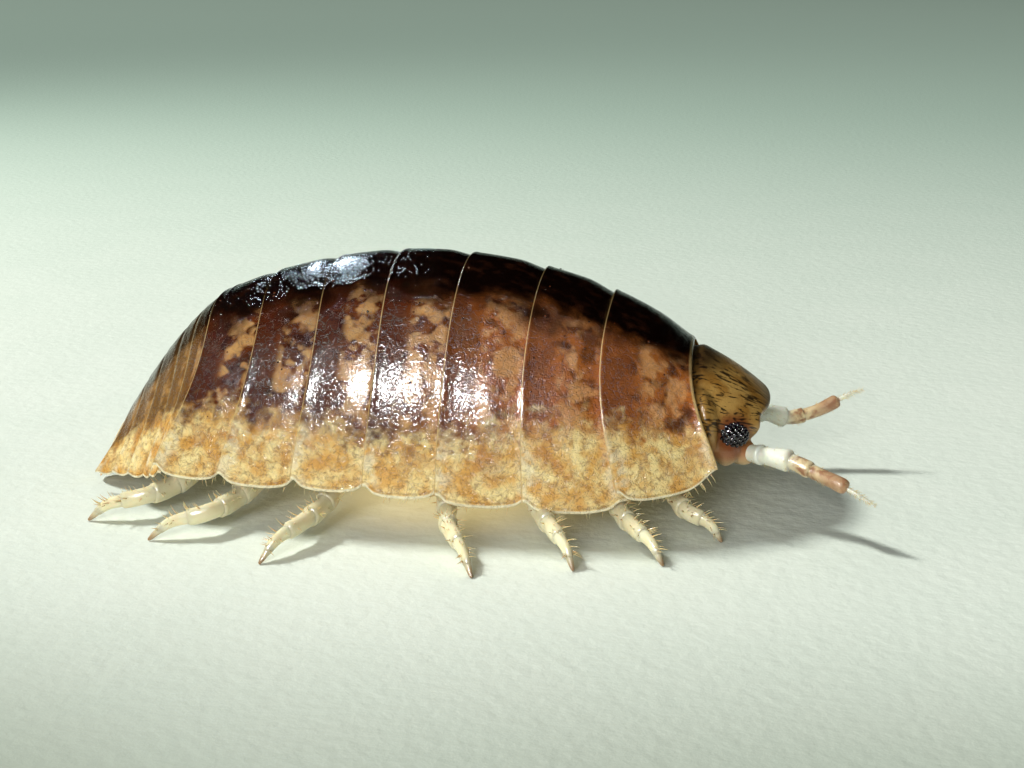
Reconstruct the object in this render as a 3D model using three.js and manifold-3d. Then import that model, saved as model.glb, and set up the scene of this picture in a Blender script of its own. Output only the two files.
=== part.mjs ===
// A pill woodlouse standing on its fourteen legs, at life size.
// Millimetres. +X points to the head, +Y to the animal's left, +Z up, and the floor is z = 0.
// The origin lies on the floor, under the middle of the animal from tail to feeler tip.
import * as THREE from 'three';
import { mergeVertices } from 'three/addons/utils/BufferGeometryUtils.js';
import Module from 'manifold-3d';

const wasm = await Module();
wasm.setup();

// Clearances
const GAP = 0.2; // between one shell plate and the next
const SOCKET_GAP = 0.1; // round an eye, and at the root of a feeler or leg

// The group is moved by this so that the origin lies under the middle of the whole animal.
const CENTRE_SHIFT = -0.82;

// Shell plates along the ridge and along the lower edge, seven of the trunk and five of the tail.
const FRONT_RIDGE_X = 5.75;
const FRONT_EDGE_X = 6.41;
const RIDGE_SPANS = [1.75, 1.58, 1.72, 1.61, 1.49, 1.44, 1.34, 0.38, 0.4, 0.5, 0.48, 0.44];
const EDGE_SPANS = [1.99, 1.96, 1.87, 1.58, 1.58, 1.68, 1.54, 0.2, 0.25, 0.5, 0.5, 0.5];
const TRUNK_PLATES = 7;
const TAIL_PLATES = 5;
const BODY_END_X = -8.12;

// The ridge seen from the side: a flattened arch, then a steeper fall over the tail.
const ARCH = { middle: -0.343, reach: 7.334, spring: 1.58, rise: 3.78, power: 1.857 };
const TAIL_FALL = { start: -5.18, linear: 2.1, square: 1.72 };

// The outline seen from above: a long oval with blunt ends.
const PLAN = { middle: -0.666, reach: 8.119, halfWidth: 3.872, power: 2.903 };
const TAIL_PLAN = { halfWidth: 2.15, roundness: 1.7 };
const HOOD = { halfWidth: 2.7, edgeHeight: 1.2, ridgePower: 2.2 };

// Height of the lower edge, and the lobe that each plate hangs down between its notches.
const EDGE_HEIGHT = { middle: 0.86, slope: -0.014, tail: 0.42 };
const NOTCH = 0.24;
const LOBE_DROP = [-0.08, 0.16, 0.1, 0, -0.05, -0.02, -0.05];
const BOW = { front: -0.3, rear: 0.46, tail: 0.2 };
const BOW_SCALE = 2.6; // brings the fullest part of the bow to its stated size
const SHOULDER_POWER = 0.92;

// Each plate rises towards its rear margin and stands proud of the next one.
const PLATE_RISE = 0.1;
const PLATE_DIP = 0.06;

// The hollow underside between the hanging plate edges.
const RIM = 0.48;
const BELLY_HEIGHT = 1.75;
const TAIL_BELLY_HEIGHT = 0.8;

const ARCH_STEPS = 26;
const TRUNK_STATIONS = [0, 0.12, 0.3, 0.5, 0.7, 0.88, 1];
const TAIL_STATIONS = [0, 0.18, 0.6, 0.95];

// Head, eyes and feelers
const HEAD = { back: 5.3, tip: 7.71, middle: 1.95, tipLift: 0.12, top: 1.7, bottom: 0.95, halfWidth: 2.06 };
const HEAD_POWER = { top: 1.42, width: 2.7, bottom: 1.7 };
const EYE = { x: 6.73, y: 1.82, z: 1.93, long: 0.34, deep: 0.22, high: 0.28 };
const FEELER_ROOT = { x: 6.98, y: 1.4, z: 1.42, radius: 0.3 };
const FEELER_RADII = [0.24, 0.25, 0.3, 0.2, 0.19, 0.17, 0.15, 0.08, 0.04];
const FEELER_SIDES = 8;
// Knuckles of each feeler, from the first one past its root to its thin tip.
const RIGHT_FEELER = [[7.6, 1.95, 1.5], [8.02, 2.2, 1.5], [8.46, 2.45, 1.38], [9.1, 3.0, 1.26], [9.72, 3.3, 0.98]];
const LEFT_FEELER = [[7.55, 1.85, 1.35], [8.05, 2.05, 1.2], [8.7, 2.2, 1.35], [9.4, 2.4, 1.7], [9.8, 2.5, 1.85]];

// The blunt three-cornered end plate, and the flat tail limb on each side of it.
const TELSON = { frontX: -7.0, frontHalfWidth: 1.05, endHalfWidth: 0.6, frontThick: 1.3, endThick: 0.32 };
const TAIL_LIMB = { x: -7.55, y: 1.52, z: 0.66, long: 0.62, wide: 0.44, thick: 0.34, pitch: -0.45 };

// Legs: where each leaves the belly, its knee and its foot, for the right side.
const LEG_ROOT_HEIGHT = 1.6;
const LEG_SIDES = 8;
const KNEE_HEIGHT = 0.5;
const LEGS = [
  { root: [5.25, 1.55], knee: [5.85, 2.9], foot: [6.59, 3.33] },
  { root: [3.85, 1.9], knee: [4.75, 3.95], foot: [5.43, 4.82] },
  { root: [2.1, 2.05], knee: [3.15, 4.45], foot: [3.65, 5.35] },
  { root: [0.35, 2.1], knee: [0.95, 4.55], foot: [1.68, 6.0] },
  { root: [-1.6, 2.1], knee: [-2.15, 4.7], foot: [-2.74, 5.94] },
  { root: [-3.2, 2.0], knee: [-4.35, 4.5], foot: [-5.47, 5.02] },
  { root: [-4.7, 1.85], knee: [-6.1, 3.75], foot: [-7.2, 4.1] },
];
// The left legs stand a little differently: shifts of knee and foot along the body.
const LEFT_SHIFTS = [-0.25, 0.2, -0.3, 0.25, 0.3, -0.2, 0.25];
// Each leg article: how far along the leg it ends, and its radius at its near and far end.
const LEG_ARTICLES = [
  { end: 0.26, near: 0.32, far: 0.3 },
  { end: 0.42, near: 0.25, far: 0.28 },
  { end: 0.55, near: 0.24, far: 0.27 },
  { end: 0.7, near: 0.23, far: 0.26 },
  { end: 0.9, near: 0.19, far: 0.17 },
  { end: 1, near: 0.13, far: 0.06 },
];

// Colours
const SHELL_BROWN = 0x5a3524;
const TAIL_BROWN = 0x6a5232;
const HEAD_TAN = 0x8d6836;
const EYE_BLACK = 0x0c0a0c;
const LIMB_CREAM = 0xe6dcc4;
const FEELER_TAN = 0xcaa98a;

const mix = THREE.MathUtils.lerp;
const cumulative = (start, spans) => spans.reduce((list, span) => [...list, list.at(-1) - span], [start]);
const RIDGE_X = cumulative(FRONT_RIDGE_X, RIDGE_SPANS);
const EDGE_X = cumulative(FRONT_EDGE_X, EDGE_SPANS);

function material(color, roughness) {
  return new THREE.MeshStandardMaterial({ color, roughness, metalness: 0 });
}

// A superellipse quarter: 1 in the middle and 0 at the end of its reach.
function fade(distance, power) {
  return Math.max(1e-4, 1 - Math.abs(distance) ** power) ** (1 / power);
}

function ridgeHeight(x) {
  if (x > TAIL_FALL.start) {
    return ARCH.spring + ARCH.rise * fade((x - ARCH.middle) / ARCH.reach, ARCH.power);
  }
  const along = (TAIL_FALL.start - x) / (TAIL_FALL.start - BODY_END_X);
  return ridgeHeight(TAIL_FALL.start + 1e-6) - TAIL_FALL.linear * along - TAIL_FALL.square * along ** 2;
}

function planHalfWidth(x) {
  return PLAN.halfWidth * fade((x - PLAN.middle) / PLAN.reach, PLAN.power);
}

function valueAlong(list, place) {
  const index = Math.min(Math.floor(place), list.length - 2);
  return mix(list[index], list[index + 1], place - index);
}

// All that the arch of the shell needs at one place along the body, counted in plates from the front.
function arch(place) {
  const ridgeX = valueAlong(RIDGE_X, place);
  const edgeX = valueAlong(EDGE_X, place);
  const hood = Math.max(0, 1 - place) ** 2;
  const tail = Math.max(0, (place - TRUNK_PLATES) / TAIL_PLATES);
  const openEdge = EDGE_HEIGHT.middle + EDGE_HEIGHT.slope * edgeX;
  const trunkBow = mix(BOW.front, BOW.rear, Math.min(place / TRUNK_PLATES, 1));
  return {
    ridgeX,
    edgeX,
    ridgeZ: ridgeHeight(ridgeX),
    edgeZ: mix(mix(openEdge, HOOD.edgeHeight, hood), EDGE_HEIGHT.tail, tail),
    halfWidth: mix(mix(planHalfWidth(edgeX), HOOD.halfWidth, hood), TAIL_PLAN.halfWidth, tail ** TAIL_PLAN.roundness),
    ridgePower: mix(SHOULDER_POWER, HOOD.ridgePower, hood),
    bow: mix(trunkBow, BOW.tail, tail),
    bellyZ: mix(BELLY_HEIGHT, TAIL_BELLY_HEIGHT, tail),
  };
}

// Where a seam lies along the body, at an angle from the ridge (0) to the lower edge (a quarter turn).
function seamX(place, angle) {
  const a = arch(place);
  const turn = Math.abs(angle);
  const bulge = BOW_SCALE * Math.sin(turn) ** 2 * Math.cos(turn);
  return a.edgeX + (a.ridgeX - a.edgeX) * Math.cos(turn) ** a.ridgePower + a.bow * bulge;
}

// One closed ring round a plate: over the back from right to left, and back through the underside.
// fraction runs from 0 at the plate's front margin to 1 at its rear margin.
function plateRing(plate, fraction, gapFront, gapRear) {
  const a = arch(plate + fraction);
  const rise = mix(-PLATE_DIP, PLATE_RISE, THREE.MathUtils.smoothstep(fraction, 0, 0.45));
  const notch = NOTCH * Math.abs(2 * fraction - 1) ** 3;
  const edgeZ = a.edgeZ + notch - (LOBE_DROP[plate] ?? 0);
  const alongX = (y) => {
    const angle = Math.asin(Math.min(1, Math.abs(y) / a.halfWidth));
    return mix(seamX(plate, angle) - gapFront, seamX(plate + 1, angle) + gapRear, fraction);
  };
  const outer = [];
  const inner = [];
  for (let i = 0; i <= ARCH_STEPS; i++) {
    const angle = (i / ARCH_STEPS - 0.5) * Math.PI;
    const lift = Math.max(0, Math.cos(angle)) ** SHOULDER_POWER;
    const y = a.halfWidth * Math.sin(angle);
    outer.push([alongX(y), y + rise * Math.sin(angle), edgeZ + (a.ridgeZ + rise - edgeZ) * lift]);
    const under = (a.halfWidth - RIM) * Math.sin(angle);
    const curl = Math.abs(Math.sin(angle)) ** 14;
    inner.push([alongX(under), under, mix(a.bellyZ, edgeZ + 0.02, curl)]);
  }
  return { outer, inner };
}

// Skin between neighbouring rings, with both ends closed by a strip from the outer to the inner line.
function ringSolid(rings) {
  const positions = [];
  const index = [];
  const count = rings[0].outer.length;
  const ringSize = 2 * count;
  for (const ring of rings) {
    for (const point of [...ring.outer, ...ring.inner.toReversed()]) positions.push(...point);
  }
  const quad = (a, b, c, d) => index.push(a, b, c, a, c, d);
  for (let r = 0; r < rings.length - 1; r++) {
    for (let i = 0; i < ringSize; i++) {
      const next = (i + 1) % ringSize;
      const near = r * ringSize;
      quad(near + i, near + next, near + ringSize + next, near + ringSize + i);
    }
  }
  const last = (rings.length - 1) * ringSize;
  for (let i = 0; i < count - 1; i++) {
    const under = ringSize - 1 - i;
    quad(i, under, under - 1, i + 1);
    quad(last + i, last + i + 1, last + under - 1, last + under);
  }
  return indexedGeometry(positions, index);
}

// The signed volume is negative where the faces point inwards.
function signedVolume(positions, index) {
  const corner = (i) => new THREE.Vector3().fromArray(positions, 3 * index[i]);
  let total = 0;
  for (let i = 0; i < index.length; i += 3) total += corner(i).dot(corner(i + 1).cross(corner(i + 2))) / 6;
  return total;
}

function indexedGeometry(positions, index) {
  if (signedVolume(positions, index) < 0) index.reverse();
  const geometry = new THREE.BufferGeometry();
  geometry.setAttribute('position', new THREE.Float32BufferAttribute(positions, 3));
  geometry.setIndex(index);
  return geometry;
}

// A stack of round rings, closed by a fan at each end.
function stackSolid(rings) {
  const sides = rings[0].length;
  const positions = rings.flat(2);
  const index = [];
  for (let r = 0; r < rings.length - 1; r++) {
    for (let i = 0; i < sides; i++) {
      const next = (i + 1) % sides;
      const a = r * sides;
      index.push(a + i, a + next, a + sides + next, a + i, a + sides + next, a + sides + i);
    }
  }
  const last = (rings.length - 1) * sides;
  for (let i = 1; i < sides - 1; i++) {
    index.push(0, i + 1, i);
    index.push(last, last + i, last + i + 1);
  }
  return indexedGeometry(positions, index);
}

// A tapering limb along a curve. Its rings stand across the curve, and its ends may lie flat instead.
function limbSolid(curve, stops, sides, flatEnds) {
  const start = curve.getPointAt(0);
  const end = curve.getPointAt(1);
  const across = new THREE.Vector3(start.y - end.y, end.x - start.x, 0).normalize();
  const rings = stops.map(({ at, radius }, order) => {
    const centre = curve.getPointAt(at);
    const isEnd = order === 0 || order === stops.length - 1;
    const tangent = flatEnds && isEnd ? new THREE.Vector3(0, 0, -1) : curve.getTangentAt(at);
    const rise = new THREE.Vector3().crossVectors(tangent, across).normalize();
    return Array.from({ length: sides }, (_, i) => {
      const angle = (i / sides) * 2 * Math.PI;
      const point = centre.clone().addScaledVector(across, radius * Math.cos(angle));
      return point.addScaledVector(rise, -radius * Math.sin(angle)).toArray();
    });
  });
  return stackSolid(rings);
}

function toSolid(geometry) {
  const clean = geometry.clone();
  clean.deleteAttribute('normal');
  clean.deleteAttribute('uv');
  const merged = mergeVertices(clean, 1e-5);
  const mesh = new wasm.Mesh({
    numProp: 3,
    vertProperties: new Float32Array(merged.attributes.position.array),
    triVerts: new Uint32Array(merged.index.array),
  });
  return new wasm.Manifold(mesh);
}

function fromSolid(solid) {
  const mesh = solid.getMesh();
  return indexedGeometry(Array.from(mesh.vertProperties), Array.from(mesh.triVerts));
}

// The largest closed piece of a solid, without loose scraps.
function mainPiece(solid) {
  return solid.decompose().reduce((best, piece) => (piece.volume() > best.volume() ? piece : best));
}

function ellipsoid(centre, radii, detail = 12, pitch = 0) {
  const geometry = new THREE.SphereGeometry(1, detail, Math.ceil(detail * 0.7));
  geometry.scale(...radii);
  geometry.rotateY(pitch);
  geometry.translate(...centre);
  return geometry;
}

// All the space in front of a seam, or behind it, standing right through the body's height.
function spaceBeside(place, clearance, farX) {
  const steps = 24;
  const { halfWidth } = arch(place);
  const reach = halfWidth + 1;
  const outline = [[farX, -reach]];
  for (let i = 0; i <= steps; i++) {
    const angle = (i / steps - 0.5) * Math.PI;
    outline.push([seamX(place, angle) + clearance, halfWidth * Math.sin(angle)]);
  }
  outline.splice(1, 0, [outline[1][0], -reach]);
  outline.push([outline.at(-1)[0], reach], [farX, reach]);
  const shape = new THREE.Shape(outline.map(([x, y]) => new THREE.Vector2(x, y)));
  const geometry = new THREE.ExtrudeGeometry(shape, { depth: 8, bevelEnabled: false });
  geometry.translate(0, 0, -1);
  return toSolid(geometry);
}

function headBlock() {
  const lengthSteps = 12;
  const sides = 24;
  const rings = [];
  for (let i = 0; i < lengthSteps; i++) {
    const along = Math.sin((i / (lengthSteps - 0.6)) * (Math.PI / 2));
    const x = mix(HEAD.back, HEAD.tip, along);
    const middle = HEAD.middle + HEAD.tipLift * along ** 3;
    const width = HEAD.halfWidth * fade(along, HEAD_POWER.width);
    const top = HEAD.top * fade(along, HEAD_POWER.top);
    const bottom = HEAD.bottom * fade(along, HEAD_POWER.bottom);
    rings.push(Array.from({ length: sides }, (_, j) => {
      const angle = (j / sides) * 2 * Math.PI;
      const up = Math.sin(angle);
      return [x, width * Math.cos(angle), middle + (up > 0 ? top : bottom) * up];
    }));
  }
  return stackSolid(rings);
}

function headGeometry() {
  const parts = [
    ellipsoid([7.08, 0, 2.28], [0.62, 1.3, 0.15], 18, 0.66), // frontal shield
    ellipsoid([6.55, 0, 1.2], [0.6, 1.0, 0.42], 14), // mouthparts
    ellipsoid([6.5, 1.6, 1.55], [0.42, 0.42, 0.42]), // left cheek
    ellipsoid([6.5, -1.6, 1.55], [0.42, 0.42, 0.42]), // right cheek
    ellipsoid([FEELER_ROOT.x, FEELER_ROOT.y, FEELER_ROOT.z], Array(3).fill(FEELER_ROOT.radius), 10),
    ellipsoid([FEELER_ROOT.x, -FEELER_ROOT.y, FEELER_ROOT.z], Array(3).fill(FEELER_ROOT.radius), 10),
  ];
  let head = toSolid(headBlock());
  for (const part of parts) head = head.add(toSolid(part));
  head = head.intersect(spaceBeside(0, GAP / 2, 10));
  for (const side of [-1, 1]) head = head.subtract(toSolid(eyeGeometry(side, SOCKET_GAP)));
  return fromSolid(mainPiece(head));
}

function eyeGeometry(side, swell = 0) {
  const radii = [EYE.long + swell, EYE.deep + swell, EYE.high + swell];
  return ellipsoid([EYE.x, side * EYE.y, EYE.z], radii, 14);
}

function feelerGeometry(side, knuckles) {
  const socket = new THREE.Vector3(FEELER_ROOT.x, side * FEELER_ROOT.y, FEELER_ROOT.z);
  const points = knuckles.map(([x, y, z]) => new THREE.Vector3(x, side * y, z));
  const direction = points[0].clone().sub(socket).normalize();
  points.unshift(socket.clone().addScaledVector(direction, FEELER_ROOT.radius + SOCKET_GAP));
  const curve = new THREE.CatmullRomCurve3(points);
  const last = FEELER_RADII.length - 1;
  const stops = FEELER_RADII.map((radius, i) => ({ at: i / last, radius }));
  return limbSolid(curve, stops, FEELER_SIDES, false);
}

// A leg leaves the belly downwards, passes under the edge of its plate, and stands on a small flat.
function legGeometry(leg, side, shift) {
  const [rootX, rootY] = leg.root;
  const [kneeX, kneeY] = leg.knee;
  const [footX, footY] = leg.foot;
  const edgeY = mix(rootY, kneeY, 0.62);
  const points = [
    [rootX, rootY, LEG_ROOT_HEIGHT],
    [mix(rootX, kneeX, 0.12), mix(rootY, kneeY, 0.12), 1.15],
    [mix(rootX, kneeX, 0.62), edgeY, 0.56],
    [kneeX + shift, kneeY, KNEE_HEIGHT],
    [mix(kneeX, footX, 0.62) + shift, mix(kneeY, footY, 0.62), 0.36],
    [footX + shift, footY, 0],
  ].map(([x, y, z]) => new THREE.Vector3(x, side * y, z));
  const curve = new THREE.CatmullRomCurve3(points);
  const stops = [];
  let begin = 0;
  for (const article of LEG_ARTICLES) {
    const ends = [[0.02, article.near], [0.5, (article.near + article.far) / 2], [0.9, article.far]];
    for (const [part, radius] of ends) stops.push({ at: mix(begin, article.end, part), radius });
    begin = article.end;
  }
  stops[0].at = 0;
  stops.at(-1).at = 1;
  return limbSolid(curve, stops, LEG_SIDES, true);
}

function trunkPlateGeometry(plate) {
  const rings = TRUNK_STATIONS.map((fraction) => plateRing(plate, fraction, GAP / 2, GAP / 2));
  return ringSolid(rings);
}

// The five short plates of the tail are one stepped solid.
function tailGeometry() {
  const rings = [];
  for (let plate = TRUNK_PLATES; plate < TRUNK_PLATES + TAIL_PLATES; plate++) {
    for (const fraction of TAIL_STATIONS) {
      const isFirst = plate === TRUNK_PLATES;
      rings.push(plateRing(plate, fraction, isFirst ? GAP / 2 : 0, 0));
    }
  }
  return ringSolid(rings);
}

function telsonGeometry() {
  const sides = 16;
  const steps = 6;
  const rings = [];
  for (let i = 0; i <= steps; i++) {
    const along = i / steps;
    const x = mix(TELSON.frontX, BODY_END_X, along);
    const halfWidth = mix(TELSON.frontHalfWidth, TELSON.endHalfWidth, along ** 2);
    const top = ridgeHeight(x) + 0.05;
    const bottom = top - mix(TELSON.frontThick, TELSON.endThick, along);
    rings.push(Array.from({ length: sides }, (_, j) => {
      const angle = (j / sides) * 2 * Math.PI;
      return [x, -halfWidth * Math.cos(angle), mix(bottom, top, 0.5 + 0.5 * Math.sin(angle))];
    }));
  }
  const solid = toSolid(stackSolid(rings));
  return fromSolid(mainPiece(solid.intersect(spaceBehindTail())));
}

function spaceBehindTail() {
  return spaceBeside(TRUNK_PLATES + TAIL_PLATES, -GAP / 2 - 0.05, -12);
}

function tailLimbGeometry(side) {
  const centre = [TAIL_LIMB.x, side * TAIL_LIMB.y, TAIL_LIMB.z];
  const radii = [TAIL_LIMB.long, TAIL_LIMB.wide, TAIL_LIMB.thick];
  const solid = toSolid(ellipsoid(centre, radii, 14, TAIL_LIMB.pitch));
  return fromSolid(mainPiece(solid.intersect(spaceBehindTail())));
}

const woodlouse = new THREE.Group();

function place(name, geometry, finish) {
  const mesh = new THREE.Mesh(geometry, finish);
  mesh.name = name;
  woodlouse.add(mesh);
}

const shellFinish = material(SHELL_BROWN, 0.3);
const limbFinish = material(LIMB_CREAM, 0.5);
const feelerFinish = material(FEELER_TAN, 0.5);
const eyeFinish = material(EYE_BLACK, 0.15);
const sides = [['right', -1], ['left', 1]];

for (let plate = 0; plate < TRUNK_PLATES; plate++) {
  place(`pereonite_${plate + 1}`, trunkPlateGeometry(plate), shellFinish);
}
place('pleon', tailGeometry(), material(TAIL_BROWN, 0.35));
place('telson', telsonGeometry(), material(TAIL_BROWN, 0.35));
place('head', headGeometry(), material(HEAD_TAN, 0.35));
for (const [name, side] of sides) {
  place(`eye_${name}`, eyeGeometry(side), eyeFinish);
  place(`antenna_${name}`, feelerGeometry(side, side < 0 ? RIGHT_FEELER : LEFT_FEELER), feelerFinish);
  place(`uropod_${name}`, tailLimbGeometry(side), limbFinish);
  LEGS.forEach((leg, i) => {
    place(`leg_${name}_${i + 1}`, legGeometry(leg, side, side > 0 ? LEFT_SHIFTS[i] : 0), limbFinish);
  });
}
woodlouse.position.x = CENTRE_SHIFT;

export default woodlouse;
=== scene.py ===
# %% [markdown]
# # A pill woodlouse on its feet
#
# A woodlouse is a land crustacean with a vaulted back. Seven broad plates cover its trunk and five short ones
# its tail, and the head looks out from under the first plate. This one stands still, at life size: about
# eighteen millimetres from its tail to the tips of its feelers.
#
# The solid model is packed already. It is loaded first and says where everything lies. Each step after that
# builds one visible part in its place and hides the plain solid that it stands for.

import math

import bmesh
import bpy
import numpy as np
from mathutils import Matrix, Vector


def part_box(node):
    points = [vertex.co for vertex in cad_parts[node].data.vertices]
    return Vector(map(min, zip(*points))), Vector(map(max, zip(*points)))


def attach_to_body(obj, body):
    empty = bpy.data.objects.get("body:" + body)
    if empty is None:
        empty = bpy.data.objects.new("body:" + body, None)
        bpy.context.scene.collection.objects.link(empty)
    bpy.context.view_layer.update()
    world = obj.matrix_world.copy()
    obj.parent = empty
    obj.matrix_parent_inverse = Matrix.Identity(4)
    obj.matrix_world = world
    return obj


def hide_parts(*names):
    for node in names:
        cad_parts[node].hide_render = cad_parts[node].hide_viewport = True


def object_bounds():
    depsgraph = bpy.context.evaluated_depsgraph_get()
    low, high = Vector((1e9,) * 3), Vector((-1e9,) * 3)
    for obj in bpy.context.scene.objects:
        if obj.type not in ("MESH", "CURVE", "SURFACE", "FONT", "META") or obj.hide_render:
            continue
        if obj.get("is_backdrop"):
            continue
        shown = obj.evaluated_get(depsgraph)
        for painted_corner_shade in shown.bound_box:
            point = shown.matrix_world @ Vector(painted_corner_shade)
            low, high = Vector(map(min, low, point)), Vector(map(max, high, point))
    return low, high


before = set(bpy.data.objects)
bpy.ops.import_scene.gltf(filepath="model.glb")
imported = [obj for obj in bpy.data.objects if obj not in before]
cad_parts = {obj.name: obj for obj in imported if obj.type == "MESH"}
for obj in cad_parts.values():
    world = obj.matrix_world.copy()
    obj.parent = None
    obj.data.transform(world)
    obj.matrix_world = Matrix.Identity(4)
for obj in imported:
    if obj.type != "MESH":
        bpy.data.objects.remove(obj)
cad_low, cad_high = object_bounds()
print("packed model, mm:", [round(1000 * side, 2) for side in cad_high - cad_low])

# %% [markdown]
# ## The vault that all plates share
#
# On the real animal the plates are slices of one smooth vault. Its ridge, its lower edge and its width change
# slowly from head to tail, and each seam bows a little. One way is to draw every plate by hand, but then
# neighbours never quite fit. Here the vault is a few formulas, in millimetres along the body, and each plate
# is cut from it between two seams. A place along the body is counted in plates: 2.5 is the middle of the third.

# %% Driving sizes of the vault
MM = 0.001
TRUNK_PLATES = 7
TAIL_PLATES = 5
FRONT_RIDGE_X = 5.75
FRONT_EDGE_X = 6.41
RIDGE_SPANS = [1.75, 1.58, 1.72, 1.61, 1.49, 1.44, 1.34, 0.38, 0.4, 0.5, 0.48, 0.44]
EDGE_SPANS = [1.99, 1.96, 1.87, 1.58, 1.58, 1.68, 1.54, 0.2, 0.25, 0.5, 0.5, 0.5]
BODY_END_X = -8.12
ARCH_MIDDLE, ARCH_REACH, ARCH_SPRING, ARCH_RISE, ARCH_POWER = -0.343, 7.334, 1.58, 3.78, 1.857
FALL_START, FALL_LINEAR, FALL_SQUARE = -5.18, 2.1, 1.72
PLAN_MIDDLE, PLAN_REACH, PLAN_HALF_WIDTH, PLAN_POWER = -0.666, 8.119, 3.872, 2.903
TAIL_HALF_WIDTH, TAIL_ROUNDNESS = 2.15, 1.7
HOOD_HALF_WIDTH, HOOD_EDGE, HOOD_POWER = 2.75, 1.02, 2.2
EDGE_MIDDLE, EDGE_SLOPE, EDGE_TAIL = 0.86, -0.014, 0.42
NOTCH = 0.13
LOBE_DROP = [-0.08, 0.16, 0.1, 0, -0.05, -0.02, -0.05] + [0] * TAIL_PLATES
BOW_FRONT, BOW_REAR, BOW_TAIL, BOW_SCALE = -0.3, 0.46, 0.2, 2.6
SHOULDER_POWER = 0.92
BELLY_Z, TAIL_BELLY_Z = 1.75, 0.8

RIDGE_X = FRONT_RIDGE_X - np.concatenate([[0], np.cumsum(RIDGE_SPANS)])
EDGE_X = FRONT_EDGE_X - np.concatenate([[0], np.cumsum(EDGE_SPANS)])
body_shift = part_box("telson")[0].x / MM - BODY_END_X
print("the body lies", round(body_shift, 3), "mm back from its own numbers")

# %% The vault's formulas
def mix(a, b, share):
    return a + (b - a) * share


def smoothstep(value, low, high):
    t = np.clip((np.asarray(value, float) - low) / (high - low), 0, 1)
    return t * t * (3 - 2 * t)


def swell(distance, width):
    return np.exp(-((distance / width) ** 2))


def fade(distance, power):
    return max(1e-4, 1 - abs(distance) ** power) ** (1 / power)


def ridge_height(x):
    if x > FALL_START:
        return ARCH_SPRING + ARCH_RISE * fade((x - ARCH_MIDDLE) / ARCH_REACH, ARCH_POWER)
    along = (FALL_START - x) / (FALL_START - BODY_END_X)
    return ridge_height(FALL_START + 1e-6) - FALL_LINEAR * along - FALL_SQUARE * along**2


def value_along(values, place):
    index = int(np.clip(math.floor(place), 0, len(values) - 2))
    return mix(values[index], values[index + 1], place - index)


def arch(place):
    ridge_x = value_along(RIDGE_X, place)
    edge_x = value_along(EDGE_X, place)
    hood = max(0, 1 - place) ** 2
    tail = max(0, (place - TRUNK_PLATES) / TAIL_PLATES)
    plan = PLAN_HALF_WIDTH * fade((edge_x - PLAN_MIDDLE) / PLAN_REACH, PLAN_POWER)
    trunk_bow = mix(BOW_FRONT, BOW_REAR, min(place / TRUNK_PLATES, 1))
    return {
        "ridge_x": ridge_x,
        "edge_x": edge_x,
        "ridge_z": ridge_height(ridge_x),
        "edge_z": mix(mix(EDGE_MIDDLE + EDGE_SLOPE * edge_x, HOOD_EDGE, hood), EDGE_TAIL, tail),
        "half_width": mix(mix(plan, HOOD_HALF_WIDTH, hood), TAIL_HALF_WIDTH, tail**TAIL_ROUNDNESS),
        "ridge_power": mix(SHOULDER_POWER, HOOD_POWER, hood),
        "bow": mix(trunk_bow, BOW_TAIL, tail),
        "belly_z": mix(BELLY_Z, TAIL_BELLY_Z, tail),
    }


def seam_x(place, angle):
    a = arch(place)
    turn = np.abs(angle)
    cosine = np.clip(np.cos(turn), 0, 1)
    bulge = BOW_SCALE * np.sin(turn) ** 2 * cosine
    return a["edge_x"] + (a["ridge_x"] - a["edge_x"]) * cosine ** a["ridge_power"] + a["bow"] * bulge


print("ridge of the fourth plate at z =", round(ridge_height(RIDGE_X[3]), 2), "mm")

# %% [markdown]
# ## From closed forms to a piece
#
# Most parts here are closed forms: plates, lumps and tapering articles. Blender can make them with modifiers,
# but a form whose size follows a formula is simplest as a list of points and faces. One small class gathers
# such forms in body millimetres, turns any that is inside out, and makes one mesh of them. The mesh can carry
# marks, which are numbers on its points that the materials read later.

# %% Forms and pieces
MERGE_DISTANCE = 2e-4 * MM


def signed_volume(points, faces):
    total = 0.0
    for face in faces:
        for i in range(1, len(face) - 1):
            a, b, c = points[face[0]], points[face[i]], points[face[i + 1]]
            total += a[0] * (b[1] * c[2] - b[2] * c[1])
            total += a[1] * (b[2] * c[0] - b[0] * c[2])
            total += a[2] * (b[0] * c[1] - b[1] * c[0])
    return total


def to_frame(points):
    return (np.asarray(points, float) + (body_shift, 0, 0)) * MM


def add_object(name, data):
    made = bpy.data.objects.new(name, data)
    bpy.context.scene.collection.objects.link(made)
    return made


def attach(piece, nodes=()):
    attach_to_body(piece, "root")
    if nodes:
        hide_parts(*nodes)


class Shape:
    def __init__(self):
        self.points = []
        self.faces = []
        self.marks = {}

    def add(self, points, faces, **marks):
        if signed_volume(points, faces) < 0:
            faces = [face[::-1] for face in faces]
        start = len(self.points)
        self.points += [tuple(point) for point in points]
        self.faces += [tuple(start + i for i in face) for face in faces]
        for name, values in marks.items():
            self.marks.setdefault(name, []).extend(np.broadcast_to(values, len(points)))

    def mesh(self, name, finish):
        mesh = bpy.data.meshes.new(name)
        mesh.from_pydata(to_frame(self.points).tolist(), [], self.faces)
        mesh.materials.append(finish)
        for mark, values in self.marks.items():
            layer = mesh.attributes.new(mark, "FLOAT", "POINT")
            layer.data.foreach_set("value", np.array(values, np.float32))
        edit = bmesh.new()
        edit.from_mesh(mesh)
        bmesh.ops.remove_doubles(edit, verts=edit.verts, dist=MERGE_DISTANCE)
        edit.to_mesh(mesh)
        edit.free()
        mesh.shade_smooth()
        return mesh

    def piece(self, name, finish, slot, nodes=()):
        attach(add_object(name, self.mesh(name, finish)), nodes)


print("points closer than", MERGE_DISTANCE, "m become one")

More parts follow.
